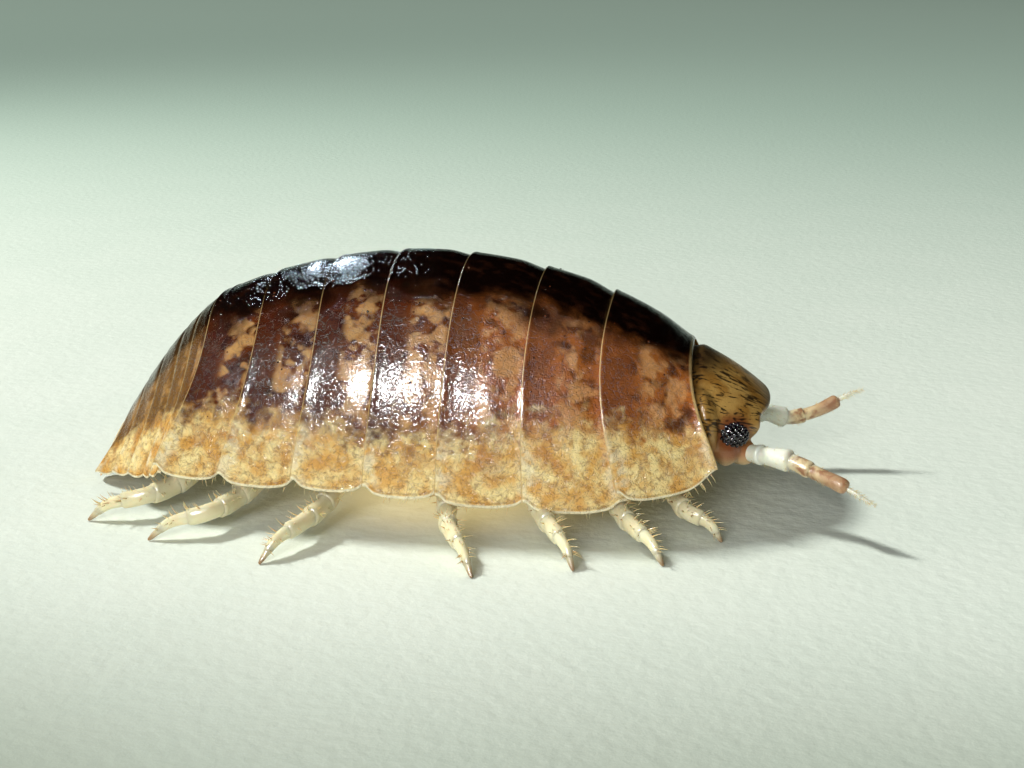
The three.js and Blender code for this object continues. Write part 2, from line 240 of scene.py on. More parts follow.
# %% [markdown]
# ### Two closed forms
#
# A row of rings joined by faces makes any tube-like form. It is closed by a fan of triangles at each end. A
# lump is such a row too, with rings that shrink towards both poles as on a globe.

# %% Lofts and lumps
POLE_GAP = 0.03


def loft(rings):
    rings = np.asarray(rings, float)
    count, sides = rings.shape[:2]
    points = np.vstack([rings.reshape(-1, 3), rings[0].mean(0), rings[-1].mean(0)])
    faces = []
    for r in range(count - 1):
        for s in range(sides):
            n = (s + 1) % sides
            faces.append((r * sides + s, r * sides + n, (r + 1) * sides + n, (r + 1) * sides + s))
    hub = count * sides
    last = hub - sides
    for s in range(sides):
        n = (s + 1) % sides
        faces.append((hub, n, s))
        faces.append((hub + 1, last + s, last + n))
    return points, faces


def lump(centre, radii, pitch=0.0, rows=22, sides=34):
    rings = []
    for r in range(rows):
        polar = mix(POLE_GAP, math.pi - POLE_GAP, r / (rows - 1))
        turn = np.arange(sides) / sides * 2 * math.pi
        x = radii[0] * np.sin(polar) * np.cos(turn)
        y = radii[1] * np.sin(polar) * np.sin(turn)
        z = np.full(sides, radii[2] * math.cos(polar))
        tilted_x = x * math.cos(pitch) + z * math.sin(pitch)
        tilted_z = z * math.cos(pitch) - x * math.sin(pitch)
        rings.append(np.column_stack([tilted_x, y, tilted_z]) + centre)
    return loft(rings)


print("faces of a plain lump:", len(lump((0, 0, 0), (1, 1, 1))[1]))

# %% [markdown]
# ## Shader sums written as Python
#
# A material is a tree of nodes. Drawing it by hand is fine for one, but these need many masks: a dark band
# along the ridge, blotches, a pale rim. A small class wraps a shader value so that plain Python sums such as
# `1 - mask` add the Math nodes, and one method adds any other node from its type, settings and inputs. The
# patterns read Object coordinates in millimetres, with left and right mirrored, because an animal's markings are.

# %% Shader values
def add_node(tree, kind, settings=None, sockets=None):
    made = tree.nodes.new(kind)
    for name, value in (settings or {}).items():
        setattr(made, name, value)
    for name, value in (sockets or {}).items():
        source = getattr(value, "socket", value)
        if isinstance(source, bpy.types.NodeSocket):
            tree.links.new(source, made.inputs[name])
        else:
            made.inputs[name].default_value = source
    return made


class Value:
    def __init__(self, finish, socket):
        self.finish = finish
        self.socket = socket

    def math(self, operation, *others):
        return self.finish.node("ShaderNodeMath", {"operation": operation}, dict(enumerate((self, *others))))

    def __add__(self, other):
        return self.math("ADD", other)

    def __sub__(self, other):
        return self.math("SUBTRACT", other)

    def __mul__(self, other):
        return self.math("MULTIPLY", other)

    def __rsub__(self, other):
        return self.finish.node("ShaderNodeMath", {"operation": "SUBTRACT"}, {0: other, 1: self})

    __radd__ = __add__
    __rmul__ = __mul__

    def step(self, low, high):
        sockets = {"Value": self, "From Min": low, "From Max": high}
        return self.finish.node("ShaderNodeMapRange", {"interpolation_type": "SMOOTHSTEP"}, sockets)

    def band(self, low, full_low, full_high, high):
        return self.step(low, full_low) * (1 - self.step(full_high, high))


print("a value knows:", [word for word in vars(Value) if not word.startswith("_")])

# %% [markdown]
# ### A finish and its nodes
#
# A finish is one material with its tree. It starts from the place in millimetres and offers the few kinds of
# node that the patterns below are made of. Colours are written as they look on a screen and turned into the
# linear numbers that a shader counts with.

# %% Finishes
def colour(text):
    channels = [int(text[i : i + 2], 16) / 255 for i in (0, 2, 4)]
    linear = [c / 12.92 if c <= 0.04045 else ((c + 0.055) / 1.055) ** 2.4 for c in channels]
    return (*linear, 1)


class Finish:
    def __init__(self, name):
        self.material = bpy.data.materials.new(name)
        self.material.use_nodes = True
        self.tree = self.material.node_tree
        self.tree.nodes.clear()
        metres = self.node("ShaderNodeTexCoord", out="Object")
        self.place = self.node("ShaderNodeVectorMath", {"operation": "SCALE"}, {0: metres, "Scale": 1 / MM})
        self.x = self.node("ShaderNodeSeparateXYZ", {}, {0: self.place}, out="X")
        self.y = self.node("ShaderNodeSeparateXYZ", {}, {0: self.place}, out="Y").math("ABSOLUTE")
        self.z = self.node("ShaderNodeSeparateXYZ", {}, {0: self.place}, out="Z")
        self.mirrored = self.vector(self.x, self.y, self.z)

    def node(self, kind, settings=None, sockets=None, out=0):
        made = add_node(self.tree, kind, settings, sockets)
        return Value(self, made.outputs[out]) if len(made.outputs) else None

    def vector(self, x, y, z):
        return self.node("ShaderNodeCombineXYZ", {}, {"X": x, "Y": y, "Z": z})

    def noise(self, where, scale, detail=2.0, distortion=0.0):
        sockets = {"Vector": where, "Scale": scale, "Detail": detail, "Distortion": distortion}
        return self.node("ShaderNodeTexNoise", {}, sockets)

    def cells(self, where, scale, feature="F1"):
        return self.node("ShaderNodeTexVoronoi", {"feature": feature}, {"Vector": where, "Scale": scale})

    def mark(self, name):
        return self.node("ShaderNodeAttribute", {"attribute_name": name}, out="Fac")

    def blend(self, mask, under, over):
        return self.node("ShaderNodeMix", {"data_type": "RGBA"}, {0: mask, 6: under, 7: over}, 2)

    def pushed_about(self, scale, amount):
        push = self.node("ShaderNodeTexNoise", {}, {"Vector": self.mirrored, "Scale": scale}, 1)
        centred = self.node("ShaderNodeVectorMath", {"operation": "SUBTRACT"}, {0: push, 1: (0.5, 0.5, 0.5)})
        sockets = {0: centred, 1: (amount, amount, amount), 2: self.mirrored}
        return self.node("ShaderNodeVectorMath", {"operation": "MULTIPLY_ADD"}, sockets)

    def distance(self, point):
        settings = {"operation": "DISTANCE"}
        return self.node("ShaderNodeVectorMath", settings, {0: self.mirrored, 1: point}, out="Value")

    def bump(self, height, depth):
        return self.node("ShaderNodeBump", {}, {"Height": height, "Distance": depth * MM})

    def surface(self, **sockets):
        named = {name.replace("_", " "): value for name, value in sockets.items()}
        shader = self.node("ShaderNodeBsdfPrincipled", {}, named)
        self.node("ShaderNodeOutputMaterial", {}, {"Surface": shader})
        return self.material


print("mid grey for a shader:", round(colour("808080")[0], 3))

# %% [markdown]
# ## The shell's finish
#
# The shell is a thin, horny, slightly clear skin. Along the ridge it is almost black. Below that it is dark
# red-brown, warmer towards the head, with tan blotches where muscles hold on inside. The lowest third is
# golden and finely mottled, and it ends in a pale rim. Painting would need an image, so the pattern comes from
# noise instead. Marks on each plate say where a tone belongs: the height from edge to ridge, the share from
# front to rear margin, the place along the body and the distance from the lip. Trunk, tail and end plate all
# carry them, so one finish serves them all.

# %% Shell tones
RIDGE_BLACK = colour("090302")
RIDGE_BROWN = colour("2c150a")
WARM_BROWN = colour("a96028")
DARK_BROWN = colour("5a2a10")
DEEP_BROWN = colour("2a1006")
TAIL_BROWN = colour("8a6839")
REAR_BAND_WARM = colour("87481c")
REAR_BAND_DARK = colour("451b0b")
BLOTCH_TAN = colour("bd925c")
BLOTCH_WARM = colour("d59c64")
RUST = colour("b07030")
GOLD = colour("d9a352")
GOLD_PALE = colour("f5dd9b")
GOLD_SPECK = colour("86561f")
CREAM = colour("efe5c2")
LIP_GOLD = colour("c9ab70")
print("darkest shell tone:", [round(channel, 4) for channel in RIDGE_BLACK[:3]])

# %% [markdown]
# ### Brown middle
#
# A noise that is cut off by a smooth step gives patches. Their outlines would be round and soft, so the place
# that the noise reads is first pushed about by a second noise, which frays them. Smaller spots come from cells
# in the same way. Both keep to the front two thirds of each plate, as on the real shell.

# %% Brown middle
def brown_middle(f, along, level, rearward):
    mottle = f.noise(f.mirrored, 2.8, 4.0, 0.6)
    brown = f.blend(rearward, WARM_BROWN, DARK_BROWN)
    brown = f.blend(mottle.step(0.44, 0.68) * 0.7, brown, DEEP_BROWN)
    in_front = along.band(0.03, 0.12, 0.5, 0.66)
    reach = level.band(0.28, 0.38, 0.8, 0.92)
    blotch = f.blend(rearward, BLOTCH_WARM, BLOTCH_TAN)
    tan = f.blend(f.noise(f.mirrored, 6.0, 3.0).step(0.4, 0.7) * 0.5, blotch, RUST)
    patches = f.noise(f.pushed_about(3.0, 0.25), 1.9, 1.5).step(0.47, 0.57)
    dark_patches = f.noise(f.pushed_about(4.0, 0.2), 1.4, 2.5, 0.4).step(0.52, 0.6)
    brown = f.blend(dark_patches * level.step(0.4, 0.6) * 0.5, brown, DEEP_BROWN)
    brown = f.blend(patches * in_front * reach * 0.85, brown, tan)
    spots = 1 - f.cells(f.pushed_about(3.5, 0.42), 3.0).step(0.2, 0.48)
    clusters = f.noise(f.mirrored, 1.3).step(0.3, 0.4)
    brown = f.blend(spots * clusters * in_front * reach * (0.45 + 0.35 * rearward), brown, tan)
    rear_band = along.step(0.58, 0.76) * 0.75
    return f.blend(rear_band, brown, f.blend(rearward, REAR_BAND_WARM, REAR_BAND_DARK))


print("the brown middle is ready")

# %% [markdown]
# ### Golden flank
#
# The flank has no outlines. Three noises of different size lie over each other there: clouds, rust and grain.
# Close to a seam the skin is thinner and paler, and the margins catch the light there, so a patchy cream tone
# follows both margins: partly the paler skin, partly a painted highlight.

# %% Golden flank
def golden_flank(f, along, height, grain):
    cloud = f.noise(f.mirrored, 2.4, 3.0)
    gold = f.blend(cloud.step(0.35, 0.65), GOLD, GOLD_PALE)
    rust = f.noise(f.mirrored, 1.9, 5.0, 0.6).step(0.46, 0.62) * height.step(0.06, 0.24)
    gold = f.blend(rust * 0.6, gold, RUST)
    gold = f.blend(grain.step(0.5, 0.66) * 0.5, gold, GOLD_SPECK)
    # Paler skin and a painted highlight along both margins, in the same cream.
    seam_pallor_and_glare = along.step(0.75, 0.97) + 1 - along.step(0.02, 0.14)
    patchy = f.noise(f.mirrored, 4.0, 3.0).step(0.4, 0.6)
    return f.blend(seam_pallor_and_glare * patchy * (1 - height.step(0.2, 0.4)) * 0.6, gold, CREAM)


print("the golden flank is ready")

# %% [markdown]
# ### The whole shell
#
# The tones are laid one over another, from the brown middle to the black ridge, and noise frays each edge.
# Gloss shows every small dent, so the relief is kept to hundredths of a millimetre: fine wrinkles that break
# the glint into grains, wide dents and a few cracks. Deeper relief would make the shell look like leather.

# %% Shell finish
RELIEF_DEPTH = 0.012


def shell_finish(name):
    f = Finish(name)
    height, along, place, under, lip = (f.mark(mark) for mark in ("height", "along", "place", "under", "lip"))
    wobble = f.noise(f.mirrored, 1.1, 3.0) - 0.5
    level = height + wobble * 0.24
    rearward = place.step(1.4, 4.2)
    tailward = place.step(6.8, 8.2)
    grain = f.noise(f.mirrored, 9.0, 4.0, 0.8)

    brown = brown_middle(f, along, level, rearward)
    brown = f.blend(tailward * 0.6, brown, TAIL_BROWN)
    ragged = level + (f.noise(f.mirrored, 4.5, 3.0) - 0.5) * 0.3
    gold_top = 0.42 - 0.13 * place.step(1.5, 3.5) + 0.08 * place.step(4.2, 6.2) + 0.08 * tailward
    golden = (gold_top - ragged).step(-0.1, 0.1)
    tone = f.blend(golden, brown, golden_flank(f, along, height, grain))

    night = f.blend(f.noise(f.mirrored, 3.0, 3.0).step(0.48, 0.78) * 0.8, RIDGE_BLACK, RIDGE_BROWN)
    dark_top = level.step(0.79, 0.93) * (1 - 0.2 * tailward)
    tone = f.blend(dark_top, tone, night)

    rim_line = height.band(0.012, 0.016, 0.02, 0.028) * 0.3
    tone = f.blend(rim_line, tone, GOLD_SPECK)
    tone = f.blend(1 - height.step(0.005, 0.013), tone, CREAM)
    at_lip = 1 - lip.step(0.016, 0.038)
    tone = f.blend(at_lip * (0.85 - 0.6 * dark_top), tone, LIP_GOLD)
    tone = f.blend(under.step(0.6, 0.9), tone, GOLD)

    furrows = f.noise(f.pushed_about(3.0, 0.3), 6.5, 2.5, 0.8).band(0.455, 0.485, 0.5, 0.53)
    furrows = furrows * (1 - dark_top * 0.9)
    # Painted shade: the colour is darkened along the furrows, which the relief below sinks as grooves.
    tone = f.blend(furrows * (0.3 - 0.14 * golden), tone, DEEP_BROWN)
    wrinkles = f.noise(f.mirrored, 10.0, 2.0, 1.6)
    dents = f.noise(f.mirrored, 3.2, 2.0)
    cracks = f.cells(f.vector(f.x * 0.35, f.y, f.z), 1.5, "DISTANCE_TO_EDGE").step(0.0, 0.02)
    fine = (wrinkles * 0.8 + wrinkles.step(0.44, 0.54) * 0.25) * (1 - dark_top * 0.15)
    relief = fine - furrows * 0.8 + dents * 1.3 + cracks * 0.12
    return f.surface(
        Base_Color=tone,
        Roughness=0.09 + 0.07 * grain + golden * 0.06 + furrows * 0.2,
        Normal=f.bump(relief, RELIEF_DEPTH),
        Specular_IOR_Level=0.7,
    )


shell_skin = shell_finish("shell")
print("shell finish:", shell_skin.name)

# %% [markdown]
# ## The twelve plates
#
# Each plate is a thin curved sheet whose rear margin lies over the front of the next plate, like roof tiles.
# A Solidify modifier could thicken a sheet, but it would leave square edges. Here a closed line runs through
# the plate's thickness, with a rounded lip at its rear margin, and is swept over the back from one side to
# the other. A bead and a groove of about a hundredth of a millimetre follow the rim, where light catches them.

# %% Plate sizes
PLATE_THICKNESS = 0.055
PLATE_TUCK = 0.12
PLATE_OVERHANG = 0.05
FRONT_DIP = 0.04
REAR_RISE = 0.06
TUCK_DEPTH = 0.07
LIP_HEIGHT = 0.006
LIP_HOLLOW_SHARE, LIP_HOLLOW_AFTER, LIP_HOLLOW_WIDTH = 0.6, 0.1, 0.04
RIM_HEIGHT = 0.014
FRONT_STATIONS, BODY_STATIONS, REAR_STATIONS = 6, 15, 9

HALF_TURN = np.concatenate(
    [np.linspace(0, 80, 49), [82, 83.5, 85, 86, 87, 87.7, 88.3, 88.8, 89.2, 89.5, 89.8, 90]]
)
TURNS = np.radians(np.concatenate([-HALF_TURN[:0:-1], HALF_TURN]))
LIP_TURNS = np.radians([45, 90, 135])
RIM_TURNS = np.radians([30, 60, 90])
print("steps across a plate:", len(TURNS))

# %% [markdown]
# ### Section, rise and lower edge of a plate
#
# Cut lengthwise, a plate is a thin strip. One closed line goes round it: along the top, round the rear lip,
# back along the underside and round the tucked front. The front dips below the plate before it, and the rear
# rises over the one behind. The lower edge is notched where two plates meet.

# %% Section, rise and lower edge
TAIL_NOTCH = 0.3
CORNER_REACH, FIRST_CORNER_REACH = 0.12, 0.3
CORNER_LIFT, FIRST_CORNER_LIFT = 0.1, 0.22


def plate_line(plate, length):
    tuck = 0 if plate == 0 else PLATE_TUCK / length
    end = 1 + PLATE_OVERHANG / length
    front = np.linspace(-tuck, 0.1, FRONT_STATIONS)
    body = np.linspace(0.15, 0.86, BODY_STATIONS)
    stations = np.concatenate([front, body, np.linspace(0.89, end, REAR_STATIONS)])
    half = PLATE_THICKNESS / 2
    lip_depth = half * (1 - np.cos(LIP_TURNS))
    lip_reach = half * np.sin(LIP_TURNS) / length
    along = np.concatenate([stations, end + lip_reach, stations[::-1], -tuck - lip_reach[::-1]])
    depth = np.concatenate([0 * stations, lip_depth, 0 * stations + 2 * half, lip_depth[::-1]])
    return along, depth


def lip_wave(distance, width):
    hollow = LIP_HOLLOW_SHARE * swell(distance - LIP_HOLLOW_AFTER, LIP_HOLLOW_WIDTH)
    return LIP_HEIGHT * (swell(distance, width) - hollow)


def plate_rise(plate, along, length):
    dip = 0 if plate == 0 else FRONT_DIP
    rise = mix(-dip, REAR_RISE, smoothstep(along, 0, 0.45))
    if plate == 0:
        rise = rise + lip_wave(along * length - 0.02, 0.04)
    else:
        rise = rise - TUCK_DEPTH * smoothstep(-along * length, 0, PLATE_TUCK)
    return rise + lip_wave((1 - along) * length + 0.02, 0.045)


def plate_edge(plate, along, length):
    inside = np.clip(along, 0, 1)
    depth = 1.0 if plate < TRUNK_PLATES else TAIL_NOTCH
    front_reach = FIRST_CORNER_REACH if plate == 0 else CORNER_REACH
    front_lift = FIRST_CORNER_LIFT if plate == 0 else CORNER_LIFT
    front = front_lift * swell(inside * length, front_reach)
    corners = front + CORNER_LIFT * swell((1 - inside) * length, CORNER_REACH)
    return depth * (NOTCH * np.abs(2 * inside - 1) ** 3 + corners) - LOBE_DROP[plate]


print("points round a plate's section:", len(plate_line(3, RIDGE_SPANS[3])[0]))

# %% [markdown]
# ### One plate
#
# The section is swept over the back in steps that are finer near the lower edge. There a few squeezed copies
# of the last section round the sheet off. Every point also gets its marks.

# %% Form of one plate
BEAD_AT, BEAD_WIDTH = 0.035, 0.03
GROOVE_AT, GROOVE_WIDTH, GROOVE_SHARE = 0.115, 0.035, 0.7


def plate_shape(plate):
    length = 0.5 * (RIDGE_SPANS[plate] + EDGE_SPANS[plate])
    along, depth = plate_line(plate, length)
    arches = [arch(plate + share) for share in along]
    half_width, ridge_z, edge_z = (
        np.array([a[key] for a in arches]) for key in ("half_width", "ridge_z", "edge_z")
    )
    edge_z = edge_z + plate_edge(plate, along, length)
    front = seam_x(plate, TURNS)[:, None]
    rear = seam_x(plate + 1, TURNS)[:, None]
    sine = np.sin(TURNS)[:, None]
    cosine = np.clip(np.cos(TURNS), 0, 1)[:, None]
    above_edge = (ridge_z - edge_z) * cosine**SHOULDER_POWER
    groove = GROOVE_SHARE * swell(above_edge - GROOVE_AT, GROOVE_WIDTH)
    bead = RIM_HEIGHT * (swell(above_edge - BEAD_AT, BEAD_WIDTH) - groove)
    middle = plate_rise(plate, along, length) - PLATE_THICKNESS / 2
    lift = middle + PLATE_THICKNESS / 2 - depth + bead
    rows = [(sine, cosine, above_edge, front + (rear - front) * along, lift, 0.0)]
    for turn in RIM_TURNS:
        squeezed = middle + (lift - middle) * math.cos(turn)
        rows.append((sine, cosine, above_edge, rows[0][3], squeezed, 0.6 * PLATE_THICKNESS * math.sin(turn)))
    sheets = []
    for s, c, up, x, out, drop in rows:
        y = (half_width + out) * s
        z = edge_z + up + out * c - drop
        sheets.append(np.stack([x, y, z], axis=2))
    body = sheets[0]
    first = [sheet[:1] for sheet in sheets[:0:-1]]
    last = [sheet[-1:] for sheet in sheets[1:]]
    points = np.concatenate([*first, body, *last])
    columns, count = points.shape[:2]
    faces = []
    for column in range(columns - 1):
        for i in range(count):
            n = (i + 1) % count
            near = column * count
            faces.append((near + i, near + n, near + count + n, near + count + i))
    padding = len(RIM_TURNS)
    height = np.pad(np.clip(cosine**SHOULDER_POWER, 0, 1), ((padding, padding), (0, 0)), mode="edge")
    wide = (columns, count)
    to_lip = np.abs(along.max() - along) * length
    if plate == 0:
        to_lip = np.minimum(to_lip, np.abs(along - along.min()) * length * 0.4)
    shape = Shape()
    shape.add(
        points.reshape(-1, 3),
        faces,
        height=np.broadcast_to(height, wide).ravel(),
        along=np.broadcast_to(np.clip(along, 0, 1), wide).ravel(),
        place=np.broadcast_to(plate + np.clip(along, 0, 1), wide).ravel(),
        under=np.broadcast_to(depth / PLATE_THICKNESS, wide).ravel(),
        lip=np.broadcast_to(to_lip, wide).ravel(),
    )
    return shape


print("points of the fourth plate:", len(plate_shape(3).points))

# %% [markdown]
# ### All twelve
#
# Each trunk plate stands for a solid of its own. The tail is one stepped solid in the packed model, but five
# pieces here, so all five name it.

# %% Twelve plates
for plate in range(TRUNK_PLATES):
    plate_shape(plate).piece(f"plate_{plate + 1}", shell_skin, "shell", [f"pereonite_{plate + 1}"])
for plate in range(TRUNK_PLATES, TRUNK_PLATES + TAIL_PLATES):
    plate_shape(plate).piece(f"tail_plate_{plate - TRUNK_PLATES + 1}", shell_skin, "tail", ["pleon"])
print("plates:", TRUNK_PLATES + TAIL_PLATES)

# %% [markdown]
# ## Finding a point of the vault
#
# Pores and lamps need to know where a spot of the shell lies and which way it faces. The formulas give the
# point, and two near neighbours give the normal, which stands at right angles to both steps.

# %% Points and normals of the vault
NEIGHBOUR = 0.02


def vault_point(place, turn):
    a = arch(place)
    cosine = max(math.cos(turn), 0)
    z = a["edge_z"] + (a["ridge_z"] - a["edge_z"]) * cosine**SHOULDER_POWER
    plate = min(math.floor(place), TRUNK_PLATES + TAIL_PLATES - 1)
    x = float(mix(seam_x(plate, turn), seam_x(plate + 1, turn), place - plate))
    return np.array([x, a["half_width"] * math.sin(turn), z])


def vault_normal(place, turn):
    here = vault_point(place, turn)
    ahead = vault_point(place + NEIGHBOUR, turn) - here
    down = vault_point(place, turn + NEIGHBOUR) - here
    normal = np.cross(ahead, down)
    normal /= np.linalg.norm(normal)
    return normal if normal[2] > 0 else -normal


print("top of the fourth plate, mm:", vault_point(3.5, 0).round(2))

# %% [markdown]
# ## Soft skin finishes
#
# Belly, legs and feelers have a thin, milky skin. Real skin of this kind lets some light in, so a little
# subsurface scattering keeps it from looking like chalk. The tone still varies: amber at the joints, cooler on
# the belly, and the feelers turn from white at the root to a pinkish ochre. A mark that runs from the root of
# a limb to its tip carries that change.

# %% Skin, claw and bristle finishes
LIMB_CREAM = colour("e8e1bd")
LIMB_AMBER = colour("dcc28a")
BELLY_CREAM = colour("d9d0aa")
BELLY_SHADE = colour("a8996f")
FEELER_WHITE = colour("eceedd")
FEELER_OCHRE = colour("ddc9a0")
FEELER_BROWN = colour("9c7254")
CLAW_BROWN = colour("6b3c1c")
BRISTLE_PALE = colour("c9b587")


def skin_finish(f, tone, normal, softness):
    return f.surface(
        Base_Color=tone,
        Roughness=0.34,
        Normal=normal,
        Subsurface_Weight=softness,
        Subsurface_Scale=0.25 * MM,
        Subsurface_Radius=(1.0, 0.7, 0.4),
    )


def limb_finish():
    f = Finish("limb")
    reach, joint = f.mark("reach"), f.mark("joint")
    cloud = f.noise(f.place, 2.4, 3.0)
    tone = f.blend(cloud.step(0.35, 0.75) * 0.35, LIMB_CREAM, LIMB_AMBER)
    tone = f.blend(joint * 0.4, tone, LIMB_AMBER)
    tone = f.blend(reach.step(0.9, 1.0) * 0.8, tone, CLAW_BROWN)
    return skin_finish(f, tone, f.bump(f.noise(f.place, 12.0, 3.0), 0.008), 0.35)


def belly_finish():
    f = Finish("belly")
    cloud = f.noise(f.mirrored, 1.8, 3.0)
    tone = f.blend(cloud.step(0.35, 0.7), BELLY_CREAM, BELLY_SHADE)
    return skin_finish(f, tone, f.bump(f.noise(f.mirrored, 8.0, 3.0), 0.02), 0.2)


def feeler_finish():
    f = Finish("feeler")
    reach = f.mark("reach")
    cloud = f.noise(f.place, 5.0, 3.0, 0.5)
    ochre = f.blend(cloud.step(0.4, 0.65), FEELER_OCHRE, FEELER_BROWN)
    tone = f.blend(reach.step(0.28, 0.42), FEELER_WHITE, ochre)
    tone = f.blend(reach.step(0.79, 0.8) * 0.8, tone, FEELER_WHITE)
    tone = f.blend(reach.band(0.5, 0.68, 0.79, 0.8) * 0.75, tone, FEELER_BROWN)
    return skin_finish(f, tone, f.bump(f.noise(f.place, 16.0, 3.0), 0.01), 0.3)


def bristle_finish():
    f = Finish("bristle")
    tone = f.blend(f.noise(f.place, 6.0).step(0.35, 0.65), BRISTLE_PALE, LIMB_AMBER)
    return f.surface(Base_Color=tone, Roughness=0.3, Subsurface_Weight=0.2, Subsurface_Scale=0.1 * MM)


limb_skin, belly_skin = limb_finish(), belly_finish()
feeler_skin, bristle_horn = feeler_finish(), bristle_finish()
print("skin finishes:", [skin.name for skin in (limb_skin, belly_skin, feeler_skin, bristle_horn)])

# %% [markdown]
# ## The belly
#
# Under the vault lies a soft belly in rings, one to a plate, seen between the legs and from in front. Only its
# lower face ever shows. It is one closed skin with a furrow at each seam, lofted from rings along the body,
# which is quicker than sculpting and follows the same places as the plates.

# %% Belly
BELLY_INSET = 0.62
BELLY_SAG = 0.34
FURROW = 0.13
BELLY_SIDES = 48
BELLY_RINGS = 120


def belly_ring(place):
    a = arch(place)
    width = a["half_width"] - BELLY_INSET
    furrow = FURROW * swell((place + 0.5) % 1 - 0.5, 0.1)
    turn = np.arange(BELLY_SIDES) / BELLY_SIDES * 2 * math.pi
    up = np.cos(turn)
    top = 0.3 * (a["ridge_z"] - a["belly_z"])
    z = a["belly_z"] + np.where(up > 0, top * up, -(BELLY_SAG - furrow) * np.abs(up) ** 0.7)
    x = np.full(BELLY_SIDES, mix(a["edge_x"], a["ridge_x"], 0.6))
    return np.column_stack([x, (width - 0.6 * furrow) * np.sin(turn), z])


belly = Shape()
belly.add(*loft([belly_ring(place) for place in np.linspace(0.25, 11.4, BELLY_RINGS)]))
belly.piece("belly", belly_skin, "leg")
print("belly rings:", BELLY_RINGS)

# %% [markdown]
# ## Limbs in articles
#
# A leg or a feeler is a chain of hard tubes, the articles, joined by soft skin. Each one is rounded at both
# ends, so the limb is waisted at its joints. Bones and modifiers are not needed for a limb that never moves: a
# smooth line runs through the knuckles, and each article is a closed form along its part of the line.

# %% Smooth lines
LINE_POINTS = 180
KNOT_STEPS = 40
SHARE_STEP = 0.01


def smooth_line(knots):
    knots = np.asarray(knots, float)
    gaps = np.sqrt(np.linalg.norm(np.diff(knots, axis=0), axis=1))
    times = np.concatenate([[0], np.cumsum(gaps)])
    slopes = np.gradient(knots, times, axis=0)
    fine = []
    for i, gap in enumerate(gaps):
        t = np.linspace(0, 1, KNOT_STEPS)[:, None]
        start, end = knots[i], knots[i + 1]
        a = (2 * t**3 - 3 * t**2 + 1) * start + (3 * t**2 - 2 * t**3) * end
        b = (t**3 - 2 * t**2 + t) * gap * slopes[i] + (t**3 - t**2) * gap * slopes[i + 1]
        fine.append(a + b)
    fine = np.concatenate(fine)
    lengths = np.concatenate([[0], np.cumsum(np.linalg.norm(np.diff(fine, axis=0), axis=1))])
    even = np.linspace(0, lengths[-1], LINE_POINTS)
    return np.column_stack([np.interp(even, lengths, fine[:, axis]) for axis in range(3)])


def line_at(line, shares):
    positions = np.asarray(shares) * (len(line) - 1)
    steps = np.arange(len(line))
    return np.column_stack([np.interp(positions, steps, line[:, axis]) for axis in range(3)])


def unit(vectors):
    return vectors / np.maximum(np.linalg.norm(vectors, axis=-1, keepdims=True), 1e-9)


def line_frame(line, shares):
    next_points = line_at(line, np.minimum(np.asarray(shares) + SHARE_STEP, 1))
    past_points = line_at(line, np.maximum(shares, SHARE_STEP) - SHARE_STEP)
    tangent = unit(next_points - past_points)
    level = unit(np.cross(line[-1] - line[0], (0, 0, 1.0)))
    across = unit(np.cross(tangent, level))
    side = unit(np.cross(across, tangent))
    return across, side


print("points along each limb's line:", LINE_POINTS)

# %% [markdown]
# ### One article
#
# An article takes its part of the line and two widths. Its rings lie closer together near both ends, where the
# width changes fast, and the marks for reach and joint are set on the way.

# %% Articles
ARTICLE_ROWS = 18
ARTICLE_SIDES = 22
END_GAP = 0.004


def article(shape, line, begin, end, near, far, roundness, flatten=1.0):
    swing = (1 - np.cos(np.linspace(0, math.pi, ARTICLE_ROWS))) / 2
    swing = np.clip(swing, END_GAP, 1 - END_GAP)
    shares = mix(begin, end, swing)
    centres = line_at(line, shares)
    across, side = line_frame(line, shares)
    cap = (1 - np.abs(2 * swing - 1) ** roundness) ** 0.5
    radius = mix(near, far, swing**1.3) * cap * (1 - 0.07 * swell(swing - 0.35, 0.3))
    turn = np.arange(ARTICLE_SIDES) / ARTICLE_SIDES * 2 * math.pi
    rings = []
    for centre, a, s, r in zip(centres, across, side, radius):
        rings.append(centre + r * np.outer(np.cos(turn), a) + r * flatten * np.outer(np.sin(turn), s))
    points, faces = loft(rings)
    ends = np.concatenate([np.repeat(swing, ARTICLE_SIDES), [0, 1]])
    joint = np.maximum(swell(ends, 0.12), swell(1 - ends, 0.12))
    shape.add(points, faces, reach=mix(begin, end, ends), joint=joint)


print("points of one article:", ARTICLE_ROWS * ARTICLE_SIDES + 2)

# %% [markdown]
# ## Fourteen legs
#
# Each trunk plate carries a pair of legs. They leave the belly, pass under the plate's edge and stand on a
# small dark claw. All the legs share one recipe with their own root, knee and foot, so that a change of the
# recipe reaches every leg. The left legs stand a little differently, as a walking animal's do.

# %% Legs
LEG_ROOT_Z = 1.6
THIGH_POINTS = [(0.12, 1.15), (0.62, 0.56)]
KNEE_Z = 0.5
SHIN_SHARE, SHIN_Z = 0.62, 0.36
FOOT_Z = 0.02
LEGS = [
    ((5.25, 1.55), (5.85, 2.9), (6.59, 3.33)),
    ((3.85, 1.9), (4.75, 3.95), (5.43, 4.82)),
    ((2.1, 2.05), (3.15, 4.45), (3.65, 5.35)),
    ((0.35, 2.1), (0.95, 4.55), (1.68, 6.0)),
    ((-1.6, 2.1), (-2.15, 4.7), (-2.74, 5.94)),
    ((-3.2, 2.0), (-4.35, 4.5), (-5.47, 5.02)),
    ((-4.7, 1.85), (-6.1, 3.75), (-7.2, 4.1)),
]
LEFT_SHIFTS = [-0.25, 0.2, -0.3, 0.25, 0.3, -0.2, 0.25]
LEG_ARTICLES = [
    (0.0, 0.29, 0.3, 0.285),
    (0.25, 0.46, 0.265, 0.265),
    (0.42, 0.62, 0.245, 0.235),
    (0.58, 0.79, 0.21, 0.185),
    (0.75, 0.94, 0.165, 0.095),
]
CLAW = (0.9, 0.1, 0.03)


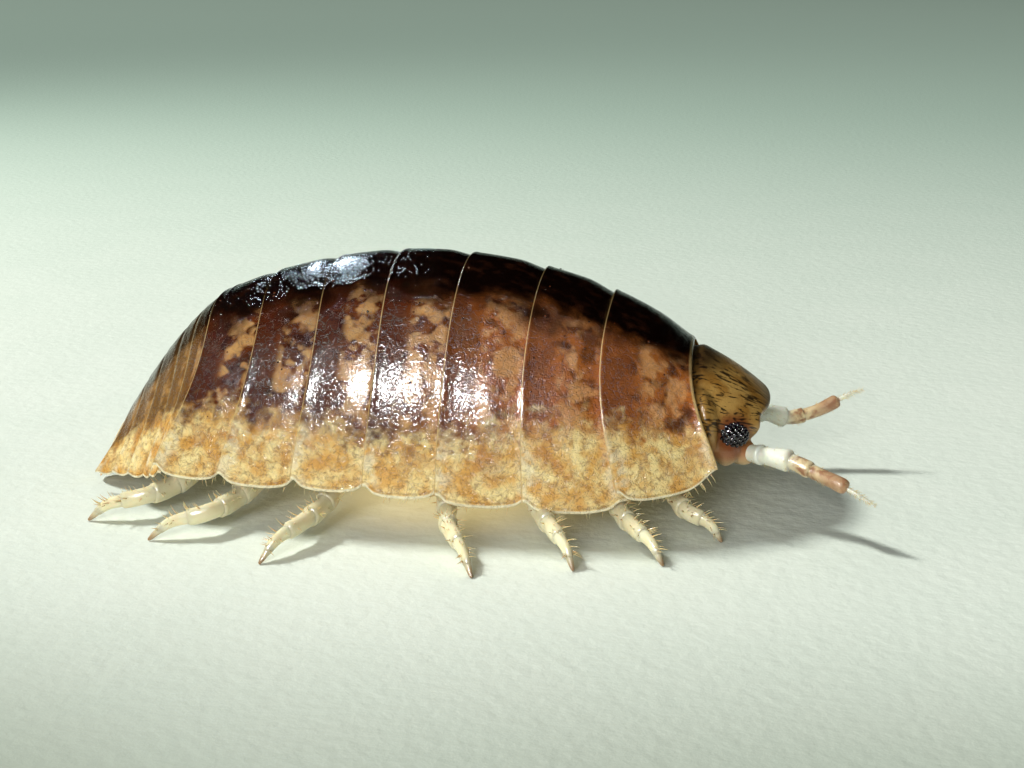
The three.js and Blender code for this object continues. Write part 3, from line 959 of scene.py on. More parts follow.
def leg_line(leg, side, shift):
    (root_x, root_y), (knee_x, knee_y), (foot_x, foot_y) = leg
    knots = [
        (root_x, root_y, LEG_ROOT_Z),
        *((mix(root_x, knee_x, share), mix(root_y, knee_y, share), z) for share, z in THIGH_POINTS),
        (knee_x + shift, knee_y, KNEE_Z),
        (mix(knee_x, foot_x, SHIN_SHARE) + shift, mix(knee_y, foot_y, SHIN_SHARE), SHIN_Z),
        (foot_x + shift, foot_y, FOOT_Z),
    ]
    return smooth_line([(x, side * y, z) for x, y, z in knots])


def leg_shape(line):
    shape = Shape()
    for begin, end, near, far in LEG_ARTICLES:
        article(shape, line, begin, end, near, far, roundness=18.0, flatten=0.86)
    claw_start, claw_near, claw_tip = CLAW
    article(shape, line, claw_start, 1.0, claw_near, claw_tip, roundness=12.0)
    points = np.array(shape.points)
    points[:, 2] = np.maximum(points[:, 2], 0)
    shape.points = [tuple(point) for point in points]
    return shape


leg_lines = []
for side_name, side in (("right", -1), ("left", 1)):
    for number, leg in enumerate(LEGS):
        line = leg_line(leg, side, LEFT_SHIFTS[number] if side > 0 else 0)
        leg_lines.append(line)
        name = f"leg_{side_name}_{number + 1}"
        leg_shape(line).piece(f"{name}_skin", limb_skin, "leg", [name])
print("legs:", len(leg_lines))

# %% [markdown]
# ## Feelers
#
# The long feelers start in a socket beside the mouth. Two thick white articles come first, then two ochre
# ones, and a fine whip in two parts ends them. The recipe for the legs serves here too, with other sizes.

# %% Feelers
FEELER_ROOT = np.array([6.98, 1.4, 1.42])
FEELER_ROOT_RADIUS = 0.3
SOCKET_DEPTH = 0.15
FEELERS = {
    "right": (-1, [[7.6, 1.95, 1.5], [8.02, 2.2, 1.5], [8.46, 2.45, 1.38], [9.1, 3.0, 1.26], [9.72, 3.3, 0.98]]),
    "left": (1, [[7.55, 1.85, 1.35], [8.05, 2.05, 1.2], [8.7, 2.2, 1.35], [9.4, 2.4, 1.7], [9.8, 2.5, 1.85]]),
}
FEELER_ARTICLES = [
    (0.0, 0.13, 0.2, 0.23),
    (0.1, 0.35, 0.2, 0.26),
    (0.32, 0.5, 0.18, 0.19),
    (0.47, 0.79, 0.16, 0.17),
    (0.77, 0.9, 0.055, 0.05),
    (0.88, 1.0, 0.04, 0.018),
]

feeler_lines = {}
for side_name, (side, knuckles) in FEELERS.items():
    mirror = np.array([1, side, 1])
    socket = FEELER_ROOT * mirror
    knots = np.array(knuckles) * mirror
    line = smooth_line([socket + unit(knots[0] - socket) * SOCKET_DEPTH, *knots])
    feeler_lines[side_name] = line
    shape = Shape()
    for begin, end, near, far in FEELER_ARTICLES:
        article(shape, line, begin, end, near, far, roundness=13.0)
    shape.piece(f"feeler_{side_name}", feeler_skin, "feeler", [f"antenna_{side_name}"])
print("feelers:", list(feeler_lines))

# %% [markdown]
# ## Tail end
#
# Behind the last tail plate sits a blunt three-cornered plate, with a short flat limb on each side that fills
# the rest of the curve. Modelled apart, such forms stick out of the vault or float above it. So each is first
# made lying flat, and then every point is let down by the vault's own height there, as a cloth is draped.

# %% End plate and tail limbs
END_FRONT_X = -6.95
END_FRONT_HALF, END_BACK_HALF = 1.25, 0.55
END_FRONT_THICK, END_BACK_THICK = 0.5, 0.3
END_SIDES, END_RINGS = 64, 40
TUCK_BACK_X, TUCK_FRONT_X, TUCKED_SINK = -7.55, -7.25, 0.16
TAIL_LIMB_AT, TAIL_LIMB_RADII, TAIL_LIMB_SINK = (-7.45, 1.22, 0), (0.62, 0.66, 0.17), 0.03
LEAST_TAIL_Z = 0.1


def drape(points, sink=0.0):
    rim = arch(TRUNK_PLATES + TAIL_PLATES)
    share = np.abs(points[:, 1]) / rim["half_width"]
    cosine = np.sqrt(np.clip(1 - share**2, 0.02, 1))
    drop = (rim["ridge_z"] - rim["edge_z"]) * (1 - cosine**SHOULDER_POWER)
    ridge = np.array([ridge_height(x) for x in points[:, 0]])
    points[:, 2] += ridge - drop - sink - TUCKED_SINK * smoothstep(points[:, 0], TUCK_BACK_X, TUCK_FRONT_X)
    points[:, 2] = np.maximum(points[:, 2], LEAST_TAIL_Z)
    return points


def end_plate():
    rings = []
    turn = np.arange(END_SIDES) / END_SIDES * 2 * math.pi
    for share in (1 - np.cos(np.linspace(0.12, math.pi, END_RINGS))) / 2:
        x = mix(END_FRONT_X, BODY_END_X, share)
        round_end = max(0.02, 1 - share**7) ** 0.5
        half = mix(END_FRONT_HALF, END_BACK_HALF, share**1.3) * mix(1, round_end, 0.75)
        thick = mix(END_FRONT_THICK, END_BACK_THICK, share) * round_end
        squared = np.sign(np.cos(turn)) * np.abs(np.cos(turn)) ** 0.7
        z = thick / 2 * (np.sin(turn) - 1)
        rings.append(np.column_stack([np.full(END_SIDES, x), half * squared, z]))
    points, faces = loft(rings)
    return drape(np.array(points)), faces


end = Shape()
points, faces = end_plate()
end_height = 0.75 - 0.35 * np.abs(points[:, 1])
end_along = smoothstep(-points[:, 0], 7.0, 8.2) * 0.9
end_lip = (points[:, 0] - BODY_END_X) * 0.5
end.add(points, faces, height=end_height, along=end_along, place=12.0, under=0.0, lip=end_lip)
end.piece("end_plate", shell_skin, "tail", ["telson"])
for side_name, side in (("right", -1), ("left", 1)):
    x, y, z = TAIL_LIMB_AT
    points, faces = lump((x, side * y, z), TAIL_LIMB_RADII, rows=34, sides=48)
    points = drape(np.array(points), TAIL_LIMB_SINK + TAIL_LIMB_RADII[2])
    limb = Shape()
    limb.add(points, faces, height=0.35, along=0.5, place=12.0, under=0.0, lip=1.0)
    limb.piece(f"tail_limb_{side_name}", shell_skin, "tail", [f"uropod_{side_name}"])
print("tail end: 3 pieces")

# %% [markdown]
# ## The head
#
# The head is a smooth capsule set into the first plate, with a raised shield across the forehead, cheeks,
# mouthparts and a socket for each feeler. On the animal these flow into each other. Overlapping forms would
# show hard creases, so they are joined by a voxel Remesh, which turns them into one even skin, and a Smooth
# modifier melts the creases. The remesh works in millimetres here, because a voxel has a least size, and the
# skin is scaled to metres afterwards.

# %% Head forms
HEAD_BACK, HEAD_TIP, HEAD_MIDDLE, HEAD_TIP_LIFT = 5.3, 7.71, 1.95, 0.12
HEAD_TOP, HEAD_BOTTOM, HEAD_HALF_WIDTH = 1.7, 0.95, 2.06
HEAD_TOP_POWER, HEAD_WIDTH_POWER, HEAD_BOTTOM_POWER = 1.3, 2.7, 1.7
EYE_AT = np.array([6.73, 1.82, 1.93])
EYE_RADII = np.array([0.34, 0.22, 0.28])
HEAD_SIDES, HEAD_ROWS = 72, 44


def head_capsule():
    rings = []
    turn = np.arange(HEAD_SIDES) / HEAD_SIDES * 2 * math.pi
    up = np.sin(turn)
    for i in range(HEAD_ROWS):
        along = math.sin(i / (HEAD_ROWS - 0.6) * math.pi / 2)
        width = HEAD_HALF_WIDTH * fade(along, HEAD_WIDTH_POWER)
        top = HEAD_TOP * fade(along, HEAD_TOP_POWER)
        bottom = HEAD_BOTTOM * fade(along, HEAD_BOTTOM_POWER)
        z = HEAD_MIDDLE + HEAD_TIP_LIFT * along**3 + np.where(up > 0, top, bottom) * up
        x = np.full(HEAD_SIDES, mix(HEAD_BACK, HEAD_TIP, along))
        rings.append(np.column_stack([x, width * np.cos(turn), z]))
    return loft(rings)


def head_forms():
    shield = lump((7.08, 0, 2.28), (0.62, 1.3, 0.15), pitch=0.66, rows=40, sides=60)
    mouth_field = lump((6.55, 0, 1.2), (0.6, 1.0, 0.42))
    yield from (head_capsule(), shield, mouth_field)
    for side in (-1, 1):
        temple = lump((5.75, side * 1.62, 1.95), (0.75, 0.92, 1.0))
        cheek = lump((6.5, side * 1.6, 1.55), (0.42, 0.42, 0.42))
        socket = lump(FEELER_ROOT * (1, side, 1), (FEELER_ROOT_RADIUS,) * 3)
        mouthpart = lump((6.92, side * 0.38, 1.02), (0.3, 0.26, 0.24))
        yield from (temple, cheek, socket, mouthpart)


print("forms in the head:", len(list(head_forms())))

# %% [markdown]
# ### One skin over all the forms
#
# A modifier only changes what is shown. To go on with its result, the object is evaluated, its mesh is taken
# as points and faces, and the blank is thrown away.

# %% Joining the forms
HEAD_VOXEL = 0.045
HEAD_SMOOTHING = 6


def remeshed(forms, voxel, smoothing):
    gathered = Shape()
    for points, faces in forms:
        gathered.add(points, faces)
    mesh = bpy.data.meshes.new("blank")
    mesh.from_pydata(gathered.points, [], gathered.faces)
    blank = add_object("blank", mesh)
    remesh = blank.modifiers.new("even", "REMESH")
    remesh.mode = "VOXEL"
    remesh.voxel_size = voxel
    smooth = blank.modifiers.new("melt", "SMOOTH")
    smooth.iterations = smoothing
    evaluated = blank.evaluated_get(bpy.context.evaluated_depsgraph_get())
    result = bpy.data.meshes.new_from_object(evaluated)
    points = np.zeros(3 * len(result.vertices))
    result.vertices.foreach_get("co", points)
    faces = [tuple(polygon.vertices) for polygon in result.polygons]
    bpy.data.objects.remove(blank)
    return points.reshape(-1, 3), faces


head_points, head_faces = remeshed(head_forms(), HEAD_VOXEL, HEAD_SMOOTHING)
print("head skin:", len(head_faces), "faces")

# %% [markdown]
# ### Shaping the face
#
# Three pushes finish the skin. The rear is drawn in, so that it slips under the first plate. The face below
# the shield is hollowed, which leaves the shield's edge standing out. A low ring rises round each eye.

# %% Shaping the face
TUCK_SHRINK, TUCK_BEHIND, TUCK_AHEAD = 0.1, -0.05, 0.3
FACE_TOP, FACE_DROP, FACE_HOLLOW = 2.35, 0.42, 0.46
FACE_BACK, FACE_FRONT, FACE_INNER, FACE_OUTER = 6.95, 7.45, 1.0, 1.5
ORBIT_RISE, ORBIT_RING, ORBIT_WIDTH = 0.03, 1.25, 0.22


def tuck_under_first_plate(points):
    a = arch(0)
    up = np.maximum(points[:, 2] - a["edge_z"], 0) / (a["ridge_z"] - a["edge_z"])
    turn = np.arctan2(np.abs(points[:, 1]) / a["half_width"], up)
    ahead = points[:, 0] - seam_x(0, turn)
    shrink = 1 - TUCK_SHRINK * (1 - smoothstep(ahead, TUCK_BEHIND, TUCK_AHEAD))
    points[:, 1] *= shrink
    points[:, 2] = HEAD_MIDDLE + (points[:, 2] - HEAD_MIDDLE) * shrink


def hollow_face(points):
    below = smoothstep(FACE_TOP - points[:, 2], 0, FACE_DROP)
    forward = smoothstep(points[:, 0], FACE_BACK, FACE_FRONT)
    inward = 1 - smoothstep(np.abs(points[:, 1]), FACE_INNER, FACE_OUTER)
    points[:, 0] -= FACE_HOLLOW * below * forward * inward


def raise_orbit(points):
    for side in (-1, 1):
        offset = points - EYE_AT * (1, side, 1)
        ring = np.linalg.norm(offset / EYE_RADII, axis=1)
        points += unit(offset) * (ORBIT_RISE * swell(ring - ORBIT_RING, ORBIT_WIDTH))[:, None]


tuck_under_first_plate(head_points)
hollow_face(head_points)
raise_orbit(head_points)
print("head reaches from x =", head_points[:, 0].min().round(2), "to", head_points[:, 0].max().round(2))

# %% [markdown]
# ## The head's finish
#
# The head is golden tan with fine dark streaks that run forward over it and bend down to the eye. The streaks
# are noise that is stretched along the head: one direction counts round the head, as an arc length, and the
# other runs forward and changes slowly. The eye has a reddish surround, and the shield's edge is grey and dull.

# %% Head finish
HEAD_TAN = colour("b58e4c")
HEAD_OCHRE = colour("966a2c")
HEAD_STREAK = colour("150c07")
HEAD_DARK = colour("1d110a")
HEAD_GREY = colour("5b5248")
HEAD_PINK = colour("9c6444")
ORBIT_RED = colour("6d3219")
HEAD_PALE = colour("d6c193")
STREAK_AXIS_Z, STREAK_RADIUS = 1.2, 2.1


def head_finish():
    f = Finish("head")
    arc = f.mark("arc")
    streak_space = f.vector(arc, f.x * 0.3, f.z * 0.12)
    streaks = f.noise(streak_space, 9.5, 3.0, 1.3)
    cloud = f.noise(f.mirrored, 2.0, 3.0)
    eye_distance = f.distance(tuple(EYE_AT + (body_shift, 0, 0)))
    tone = f.blend(cloud.step(0.35, 0.65), HEAD_TAN, HEAD_OCHRE)
    cheek = (1 - f.z.step(1.45, 1.95)) * f.x.step(5.2, 5.6)
    tone = f.blend(cheek * 0.8, tone, HEAD_PINK)
    tone = f.blend((1 - f.z.step(1.15, 1.5)) * 0.7, tone, HEAD_PALE)
    tone = f.blend((1 - eye_distance.step(0.3, 0.62)) * 0.85, tone, ORBIT_RED)
    drawn = streaks.step(0.52, 0.6) * (1 - cheek) * f.z.step(1.75, 2.1)
    tone = f.blend(drawn * 0.92, tone, HEAD_STREAK)
    tone = f.blend(f.z.step(2.9, 3.3) * 0.9, tone, HEAD_DARK)
    tip = f.x.step(6.45, 6.8) * f.z.step(1.9, 2.1)
    tone = f.blend(tip * 0.75, tone, HEAD_GREY)
    relief = f.noise(f.mirrored, 14.0, 2.0, 1.0) + streaks * 0.6
    return f.surface(
        Base_Color=tone,
        Roughness=0.3 + tip * 0.25,
        Normal=f.bump(relief, 0.01),
        Specular_IOR_Level=0.6,
    )


head_skin = head_finish()
head = Shape()
arc_mark = np.arctan2(np.abs(head_points[:, 1]), head_points[:, 2] - STREAK_AXIS_Z) * STREAK_RADIUS
head.add(head_points, head_faces, arc=arc_mark)
head.piece("head_skin", head_skin, "head", ["head"])
print("head:", len(head.points), "points")

# %% [markdown]
# ## Things that repeat: domes and bristles
#
# The eye is a cluster of tiny round lenses, and short bristles stand along the rims, legs and feelers. Both
# repeat one small shape many times, which is what Geometry Nodes are for. The points come from Python with a
# direction and a size each. The tree puts the shape on every point, makes the copies real and gives them
# their material. The result is then read back as a plain mesh.

# %% A tree that copies a shape
class Growth:
    def __init__(self, name, inputs):
        self.tree = bpy.data.node_groups.new(name, "GeometryNodeTree")
        self.tree.interface.new_socket("Points", in_out="INPUT", socket_type="NodeSocketGeometry")
        for label, (kind, value) in inputs.items():
            socket = self.tree.interface.new_socket(label, in_out="INPUT", socket_type=kind)
            if value is not None:
                socket.default_value = value
        self.tree.interface.new_socket("Result", in_out="OUTPUT", socket_type="NodeSocketGeometry")
        self.inputs = self.tree.nodes.new("NodeGroupInput").outputs
        self.outputs = self.tree.nodes.new("NodeGroupOutput").inputs

    def node(self, kind, settings=None, sockets=None):
        return add_node(self.tree, kind, settings, sockets).outputs

    def attribute(self, name, kind):
        return self.node("GeometryNodeInputNamedAttribute", {"data_type": kind}, {"Name": name})["Attribute"]

    def copies(self, shape):
        smooth = self.node("GeometryNodeSetShadeSmooth", {}, {"Geometry": shape})["Geometry"]
        direction = self.attribute("direction", "FLOAT_VECTOR")
        turned = self.node("FunctionNodeAlignRotationToVector", {"axis": "Z"}, {"Vector": direction})["Rotation"]
        size = self.attribute("size", "FLOAT")
        sockets = {"Points": self.inputs["Points"], "Instance": smooth, "Rotation": turned, "Scale": size}
        placed = self.node("GeometryNodeInstanceOnPoints", {}, sockets)["Instances"]
        real = self.node("GeometryNodeRealizeInstances", {}, {"Geometry": placed})["Geometry"]
        sockets = {"Geometry": real, "Material": self.inputs["Finish"]}
        finished = self.node("GeometryNodeSetMaterial", {}, sockets)["Geometry"]
        self.tree.links.new(finished, self.outputs["Result"])


print("a growth tree is made by:", [word for word in vars(Growth) if not word.startswith("_")])

# %% [markdown]
# ### A dome and a bristle
#
# The dome is a small round ball that is sunk halfway into the surface. The bristle is a thin cone with a few
# rings, bent by a curve that grows with the square of the height, as a hair bends.

# %% Trees for domes and bristles
BRISTLE_SEGMENTS = 4


def dome_tree():
    growth = Growth("domes", {"Detail": ("NodeSocketInt", 2), "Finish": ("NodeSocketMaterial", None)})
    ball = growth.node("GeometryNodeMeshIcoSphere", {}, {"Radius": 1.0, "Subdivisions": growth.inputs["Detail"]})
    growth.copies(ball["Mesh"])
    return growth.tree


def bristle_tree():
    inputs = {
        "Sides": ("NodeSocketInt", 5),
        "Root width": ("NodeSocketFloat", 0.07),
        "Tip width": ("NodeSocketFloat", 0.012),
        "Bend": ("NodeSocketFloat", 0.18),
        "Finish": ("NodeSocketMaterial", None),
    }
    growth = Growth("bristles", inputs)
    sockets = {
        "Vertices": growth.inputs["Sides"],
        "Side Segments": BRISTLE_SEGMENTS,
        "Radius Bottom": growth.inputs["Root width"],
        "Radius Top": growth.inputs["Tip width"],
        "Depth": 1.0,
    }
    cone = growth.node("GeometryNodeMeshCone", {}, sockets)["Mesh"]
    position = growth.node("GeometryNodeInputPosition")["Position"]
    up = growth.node("ShaderNodeSeparateXYZ", {}, {0: position})["Z"]
    curve = growth.node("ShaderNodeMath", {"operation": "MULTIPLY"}, {0: up, 1: up})[0]
    sway = growth.node("ShaderNodeMath", {"operation": "MULTIPLY"}, {0: curve, 1: growth.inputs["Bend"]})[0]
    offset = growth.node("ShaderNodeCombineXYZ", {}, {"X": sway})[0]
    bent = growth.node("GeometryNodeSetPosition", {}, {"Geometry": cone, "Offset": offset})["Geometry"]
    growth.copies(bent)
    return growth.tree


domes, bristles = dome_tree(), bristle_tree()
print("trees:", domes.name, "and", bristles.name)

# %% [markdown]
# ### From points to a plain mesh
#
# A tree's inputs are set on the modifier by the sockets' identifiers. This has to happen before the object is
# first evaluated. The mesh that comes out replaces the points, and the modifier goes.

# %% Growing on points
def grow(name, tree, points, directions, sizes, slot, **inputs):
    mesh = bpy.data.meshes.new(name)
    mesh.from_pydata(to_frame(points).tolist(), [], [])
    direction = mesh.attributes.new("direction", "FLOAT_VECTOR", "POINT")
    direction.data.foreach_set("vector", np.asarray(directions, np.float32).ravel())
    size = mesh.attributes.new("size", "FLOAT", "POINT")
    size.data.foreach_set("value", np.asarray(sizes, np.float32) * MM)
    grown = add_object(name, mesh)
    modifier = grown.modifiers.new("growth", "NODES")
    modifier.node_group = tree
    for item in tree.interface.items_tree:
        if item.name in inputs:
            modifier[item.identifier] = inputs[item.name]
    evaluated = grown.evaluated_get(bpy.context.evaluated_depsgraph_get())
    plain = bpy.data.meshes.new_from_object(evaluated)
    grown.modifiers.clear()
    grown.data = plain
    attach(grown)
    print(name, len(points), "copies,", len(plain.polygons), "faces")


print("growing is ready")

# %% [markdown]
# ## Eyes
#
# Each eye is an oval patch of black lenses that bulge separately, so it glints in many small points. A single
# glossy ball would show one highlight. A dark oval core holds the patch together, and the lenses are spread
# over it in a spiral that fills an oval evenly.

# %% Eyes
LENS_RADIUS = 0.048
LENS_COUNT = 110
LENS_SINK = 0.6
LEAST_OUTWARD = -0.25
EYE_BLACK = colour("060508")
EYE_PURPLE = colour("1c1420")


def eye_finish():
    f = Finish("eye")
    tone = f.blend(f.noise(f.place, 9.0).step(0.4, 0.7), EYE_BLACK, EYE_PURPLE)
    return f.surface(Base_Color=tone, Roughness=0.12, Coat_Weight=0.6, Coat_Roughness=0.05)


def spiral(count):
    index = np.arange(count) + 0.5
    polar = np.arccos(1 - 2 * index / count)
    turn = math.pi * (1 + 5**0.5) * index
    return np.column_stack([np.cos(turn) * np.sin(polar), np.sin(turn) * np.sin(polar), np.cos(polar)])


eye_black = eye_finish()
core_radii = EYE_RADII - LENS_RADIUS * LENS_SINK
for side_name, side in (("right", -1), ("left", 1)):
    centre = EYE_AT * (1, side, 1)
    core = Shape()
    core.add(*lump(centre, core_radii, rows=18, sides=28))
    core.piece(f"eye_core_{side_name}", eye_black, "eye", [f"eye_{side_name}"])
    ball = spiral(LENS_COUNT)
    ball = ball[ball[:, 1] * side > LEAST_OUTWARD]
    sizes = np.full(len(ball), LENS_RADIUS)
    grow(f"eye_lenses_{side_name}", domes, centre + ball * core_radii, ball, sizes, "eye", Finish=eye_black)

# %% [markdown]
# ## Bristles
#
# Short stiff hairs stand along the lower rims, longer at the front corner of the first plate, on the feelers
# and under the legs. Their points are chosen here, with a fixed seed, so that the animal is the same each
# time, and the tree from before grows them.

# %% Bristles along the rims
SEED = 11
chance = np.random.default_rng(SEED)
FIRST_RIM_COUNT, RIM_COUNT = 24, 11
CORNER_SHARE = 0.35


def rim_bristles():
    points, directions, sizes = [], [], []
    for plate in range(TRUNK_PLATES):
        length = 0.5 * (RIDGE_SPANS[plate] + EDGE_SPANS[plate])
        for side in (-1, 1):
            count = FIRST_RIM_COUNT if plate == 0 else RIM_COUNT
            shares = np.sort(chance.uniform(0.03, 0.97, count))
            for share in shares:
                a = arch(plate + share)
                edge = a["edge_z"] + float(plate_edge(plate, share, length))
                x = float(mix(seam_x(plate, math.pi / 2), seam_x(plate + 1, math.pi / 2), share))
                is_corner = plate == 0 and share < CORNER_SHARE
                forward = 0.9 if is_corner else chance.uniform(-0.6, 0.2)
                points.append((x, side * (a["half_width"] + 0.02), edge - 0.03))
                directions.append((forward, side * chance.uniform(0.1, 0.8), -1.0))
                sizes.append(chance.uniform(0.14, 0.24) if is_corner else chance.uniform(0.07, 0.16))
    return points, directions, sizes


def gathered(parts):
    return [np.array([item for part in parts for item in part[i]], float) for i in range(3)]


grow("rim_bristles", bristles, *gathered([rim_bristles()]), "shell", Finish=bristle_horn)

# %% [markdown]
# ### Bristles on the limbs
#
# Each article carries its own, at random places along it and round it. They lean towards the limb's tip. On
# the legs they keep to the lower side.

# %% Bristles on legs and feelers
LEG_BRISTLES, FEELER_BRISTLES = 13, 42
LEG_SPREAD = 1.5
ROOT_DEPTH = 0.85
TIPWARD_LEAN = 0.6


def limb_bristles(line, articles, per_article, sizes_between, spread):
    points, directions, sizes = [], [], []
    for begin, end, near, far in articles:
        for _ in range(per_article):
            share = chance.uniform(0.15, 0.97)
            at = mix(begin, end, share)
            across, side = line_frame(line, np.array([at]))
            turn = chance.uniform(-spread, spread) + math.pi
            out = math.cos(turn) * across[0] + math.sin(turn) * side[0]
            tangent = np.cross(side[0], across[0])
            points.append(line_at(line, [at])[0] + out * mix(near, far, share) * ROOT_DEPTH)
            directions.append(out + TIPWARD_LEAN * tangent * np.sign(np.dot(tangent, line[-1] - line[0])))
            sizes.append(chance.uniform(*sizes_between))
    return points, directions, sizes


leg_parts = [
    limb_bristles(line, LEG_ARTICLES[1:], LEG_BRISTLES, (0.12, 0.26), LEG_SPREAD) for line in leg_lines
]
grow("leg_bristles", bristles, *gathered(leg_parts), "leg", Finish=bristle_horn)
feeler_parts = [
    limb_bristles(line, FEELER_ARTICLES, FEELER_BRISTLES, (0.05, 0.1), math.pi)
    for line in feeler_lines.values()
]
grow("feeler_bristles", bristles, *gathered(feeler_parts), "feeler", Finish=bristle_horn)

# %% [markdown]
# ## Pores that glint
#
# Small wet-looking grains lie scattered along the rear margin of each trunk plate, and a few on its blotches.
# Each catches the light in one bright point. The dome tree makes them too, half sunk in the shell.

# %% Pores
PORES_PER_PLATE = 18
PORE_SINK = 0.008


def pore_finish():
    f = Finish("pore")
    tone = f.blend(f.noise(f.place, 5.0).step(0.4, 0.6), RIDGE_BLACK, DARK_BROWN)
    return f.surface(Base_Color=tone, Roughness=0.06, Coat_Weight=1.0, Coat_Roughness=0.03)


def pore_places():
    points, normals, sizes = [], [], []
    for plate in range(TRUNK_PLATES):
        for number in range(PORES_PER_PLATE):
            side = 1 if number % 2 else -1
            along = chance.uniform(0.84, 0.97) if number % 6 else chance.uniform(0.25, 0.6)
            turn = side * math.radians(chance.uniform(12, 72))
            normal = vault_normal(plate + along, turn)
            points.append(vault_point(plate + along, turn) + normal * (REAR_RISE - PORE_SINK))
            normals.append(normal)
            sizes.append(chance.uniform(0.018, 0.034))
    return points, normals, sizes


grow("pores", domes, *gathered([pore_places()]), "shell", Finish=pore_finish())

# %% [markdown]
# ## Floor
#
# The animal stands on pale paper with a faint grain. It needs a surface that reaches past the picture on every
# side, so it is one wide round sheet. Its colour carries painted shade: it is painted darker to the back and in
# the near corners, for the fall-off of an uneven light, and left bright round a painted bright spot by the
# animal. From low down one would see past its edge, so a curved wall of the same paper stands there for the
# camera only: a shell that mirrored a bright wall would look hazy. Both belong to the studio.

# %% Floor
FLOOR_RADIUS = 0.8
BACKDROP_RADII = [FLOOR_RADIUS, 0.87, 0.93, 0.98, 1.02, 1.05, 1.06]
BACKDROP_HEIGHTS = [0, 0.008, 0.03, 0.07, 0.14, 0.28, 0.8]
STAGE_SIDES = 96
# The far, edge and corner tones are painted shade for the light's fall-off. The far tone also tints the grain.
PAPER_NEAR = colour("e0e7dc")
PAPER_FAR_SHADE_AND_GRAIN = colour("b0c4b6")
PAPER_EDGE_SHADE = colour("b4c6b8")
PAPER_CORNER_SHADE = colour("86917f")
CORNER_SHADE = 0.8075
PAINTED_BRIGHT_SPOT = (-1, -4, 0)


def paper_finish():
    f = Finish("paper")
    depth = f.node("ShaderNodeSeparateXYZ", {}, {0: f.place}, out="Y")
    # Painted shade, darker towards the back.
    backward = (depth + 35).math("LOGARITHM", 2)
    tone = f.blend(backward.step(5.3, 7.0), PAPER_NEAR, PAPER_FAR_SHADE_AND_GRAIN)
    tone = f.blend(depth.step(60, 320), tone, PAPER_EDGE_SHADE)
    # Painted shade in the near corners, with the paper left pale round a painted bright spot by the animal.
    away = f.distance(PAINTED_BRIGHT_SPOT)
    painted_corner_shade = away.step(5, 14) * (1 - away.step(20, 50)) * (1 - depth.step(-17, -5))
    tone = f.blend(painted_corner_shade * CORNER_SHADE, tone, PAPER_CORNER_SHADE)
    tone = f.blend(f.noise(f.place, 0.3, 4.0).step(0.4, 0.6) * 0.06, tone, PAPER_FAR_SHADE_AND_GRAIN)
    return f.surface(Base_Color=tone, Roughness=0.75, Normal=f.bump(f.noise(f.place, 3.0, 4.0), 0.035))


def stage_piece(name, radii, heights, finish):
    turn = np.arange(STAGE_SIDES) / STAGE_SIDES * 2 * math.pi
    rings = zip(radii, heights)
    points = [(radius * math.cos(t), radius * math.sin(t), z) for radius, z in rings for t in turn]
    faces = [tuple(range(STAGE_SIDES))] if len(radii) == 1 else []
    for ring in range(len(radii) - 1):
        near, far = ring * STAGE_SIDES, (ring + 1) * STAGE_SIDES
        for i in range(STAGE_SIDES):
            n = (i + 1) % STAGE_SIDES
            faces.append((near + i, far + i, far + n, near + n))
    mesh = bpy.data.meshes.new(name)
    mesh.from_pydata(points, [], faces)
    mesh.polygons.foreach_set("use_smooth", [len(radii) > 1] * len(faces))
    mesh.materials.append(finish)
    piece = add_object(name, mesh)
    piece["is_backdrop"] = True
    return piece


paper = paper_finish()
stage_piece("floor", [FLOOR_RADIUS], [0], paper)
backdrop = stage_piece("backdrop", BACKDROP_RADII, BACKDROP_HEIGHTS, paper)
backdrop.visible_glossy = backdrop.visible_diffuse = backdrop.visible_shadow = False
print("floor radius, m:", FLOOR_RADIUS)

# %% [markdown]
# ## Camera
#
# The camera stands a little in front of the animal's right side and looks slightly down, close enough for
# perspective to show. A direction, a distance and the point that it looks at are enough to place it.

# %% Camera
CAMERA_TURN = math.radians(8.5)
CAMERA_RISE = math.radians(16)
CAMERA_DISTANCE = 36 * MM
LOOK_AT = Vector(((1.6 + body_shift) * MM, 0, 2.346 * MM))
LENS, SENSOR_WIDTH = 54.42, 36
NEAREST, FARTHEST = MM, 10

across, ahead = math.sin(CAMERA_TURN), math.cos(CAMERA_TURN)
back = Vector((across * math.cos(CAMERA_RISE), -ahead * math.cos(CAMERA_RISE), math.sin(CAMERA_RISE)))
camera_data = bpy.data.cameras.new("camera")
camera_data.lens = LENS
camera_data.sensor_width = SENSOR_WIDTH
camera_data.clip_start = NEAREST
camera_data.clip_end = FARTHEST
camera = add_object("camera", camera_data)
camera.location = LOOK_AT + back * CAMERA_DISTANCE
camera.rotation_mode = "QUATERNION"
camera.rotation_quaternion = (-back).to_track_quat("-Z", "Y")
bpy.context.scene.camera = camera
print("camera height, mm:", round(camera.location.z / MM, 2))

# %% [markdown]
# ## Lamps where their mirror images fall right
#
# A glossy shell shows its lamps as bright patches. Moving lamps about until the patches sit well takes long.
# A mirror sends light away at the angle at which it came, so from a point on the shell, its normal and the
# camera the lamp's direction can be worked out. Two small lamps are placed like that, one for the flank and a
# cooler one for the rear of the back, and they light nothing but gloss. The broad light comes from others that
# the gloss doesn't see, as if through a polariser: a near key lamp from the left, whose light fades behind the
# animal, a far one from the same side, a fill from in front, a pale sky, and a dim warm glow under the belly
# for the light that comes through the thin edges of the plates.

# %% Placing lamps
FLANK_PLACE, FLANK_TURN = 3.15, math.radians(-62)
RUMP_PLACE, RUMP_TURN = 4.95, math.radians(-8)


def mirror_direction(place, turn):
    here = Vector(to_frame(vault_point(place, turn)).tolist())
    normal = Vector(vault_normal(place, turn).tolist())
    view = (camera.location - here).normalized()
    return here, (2 * normal.dot(view) * normal - view).normalized()


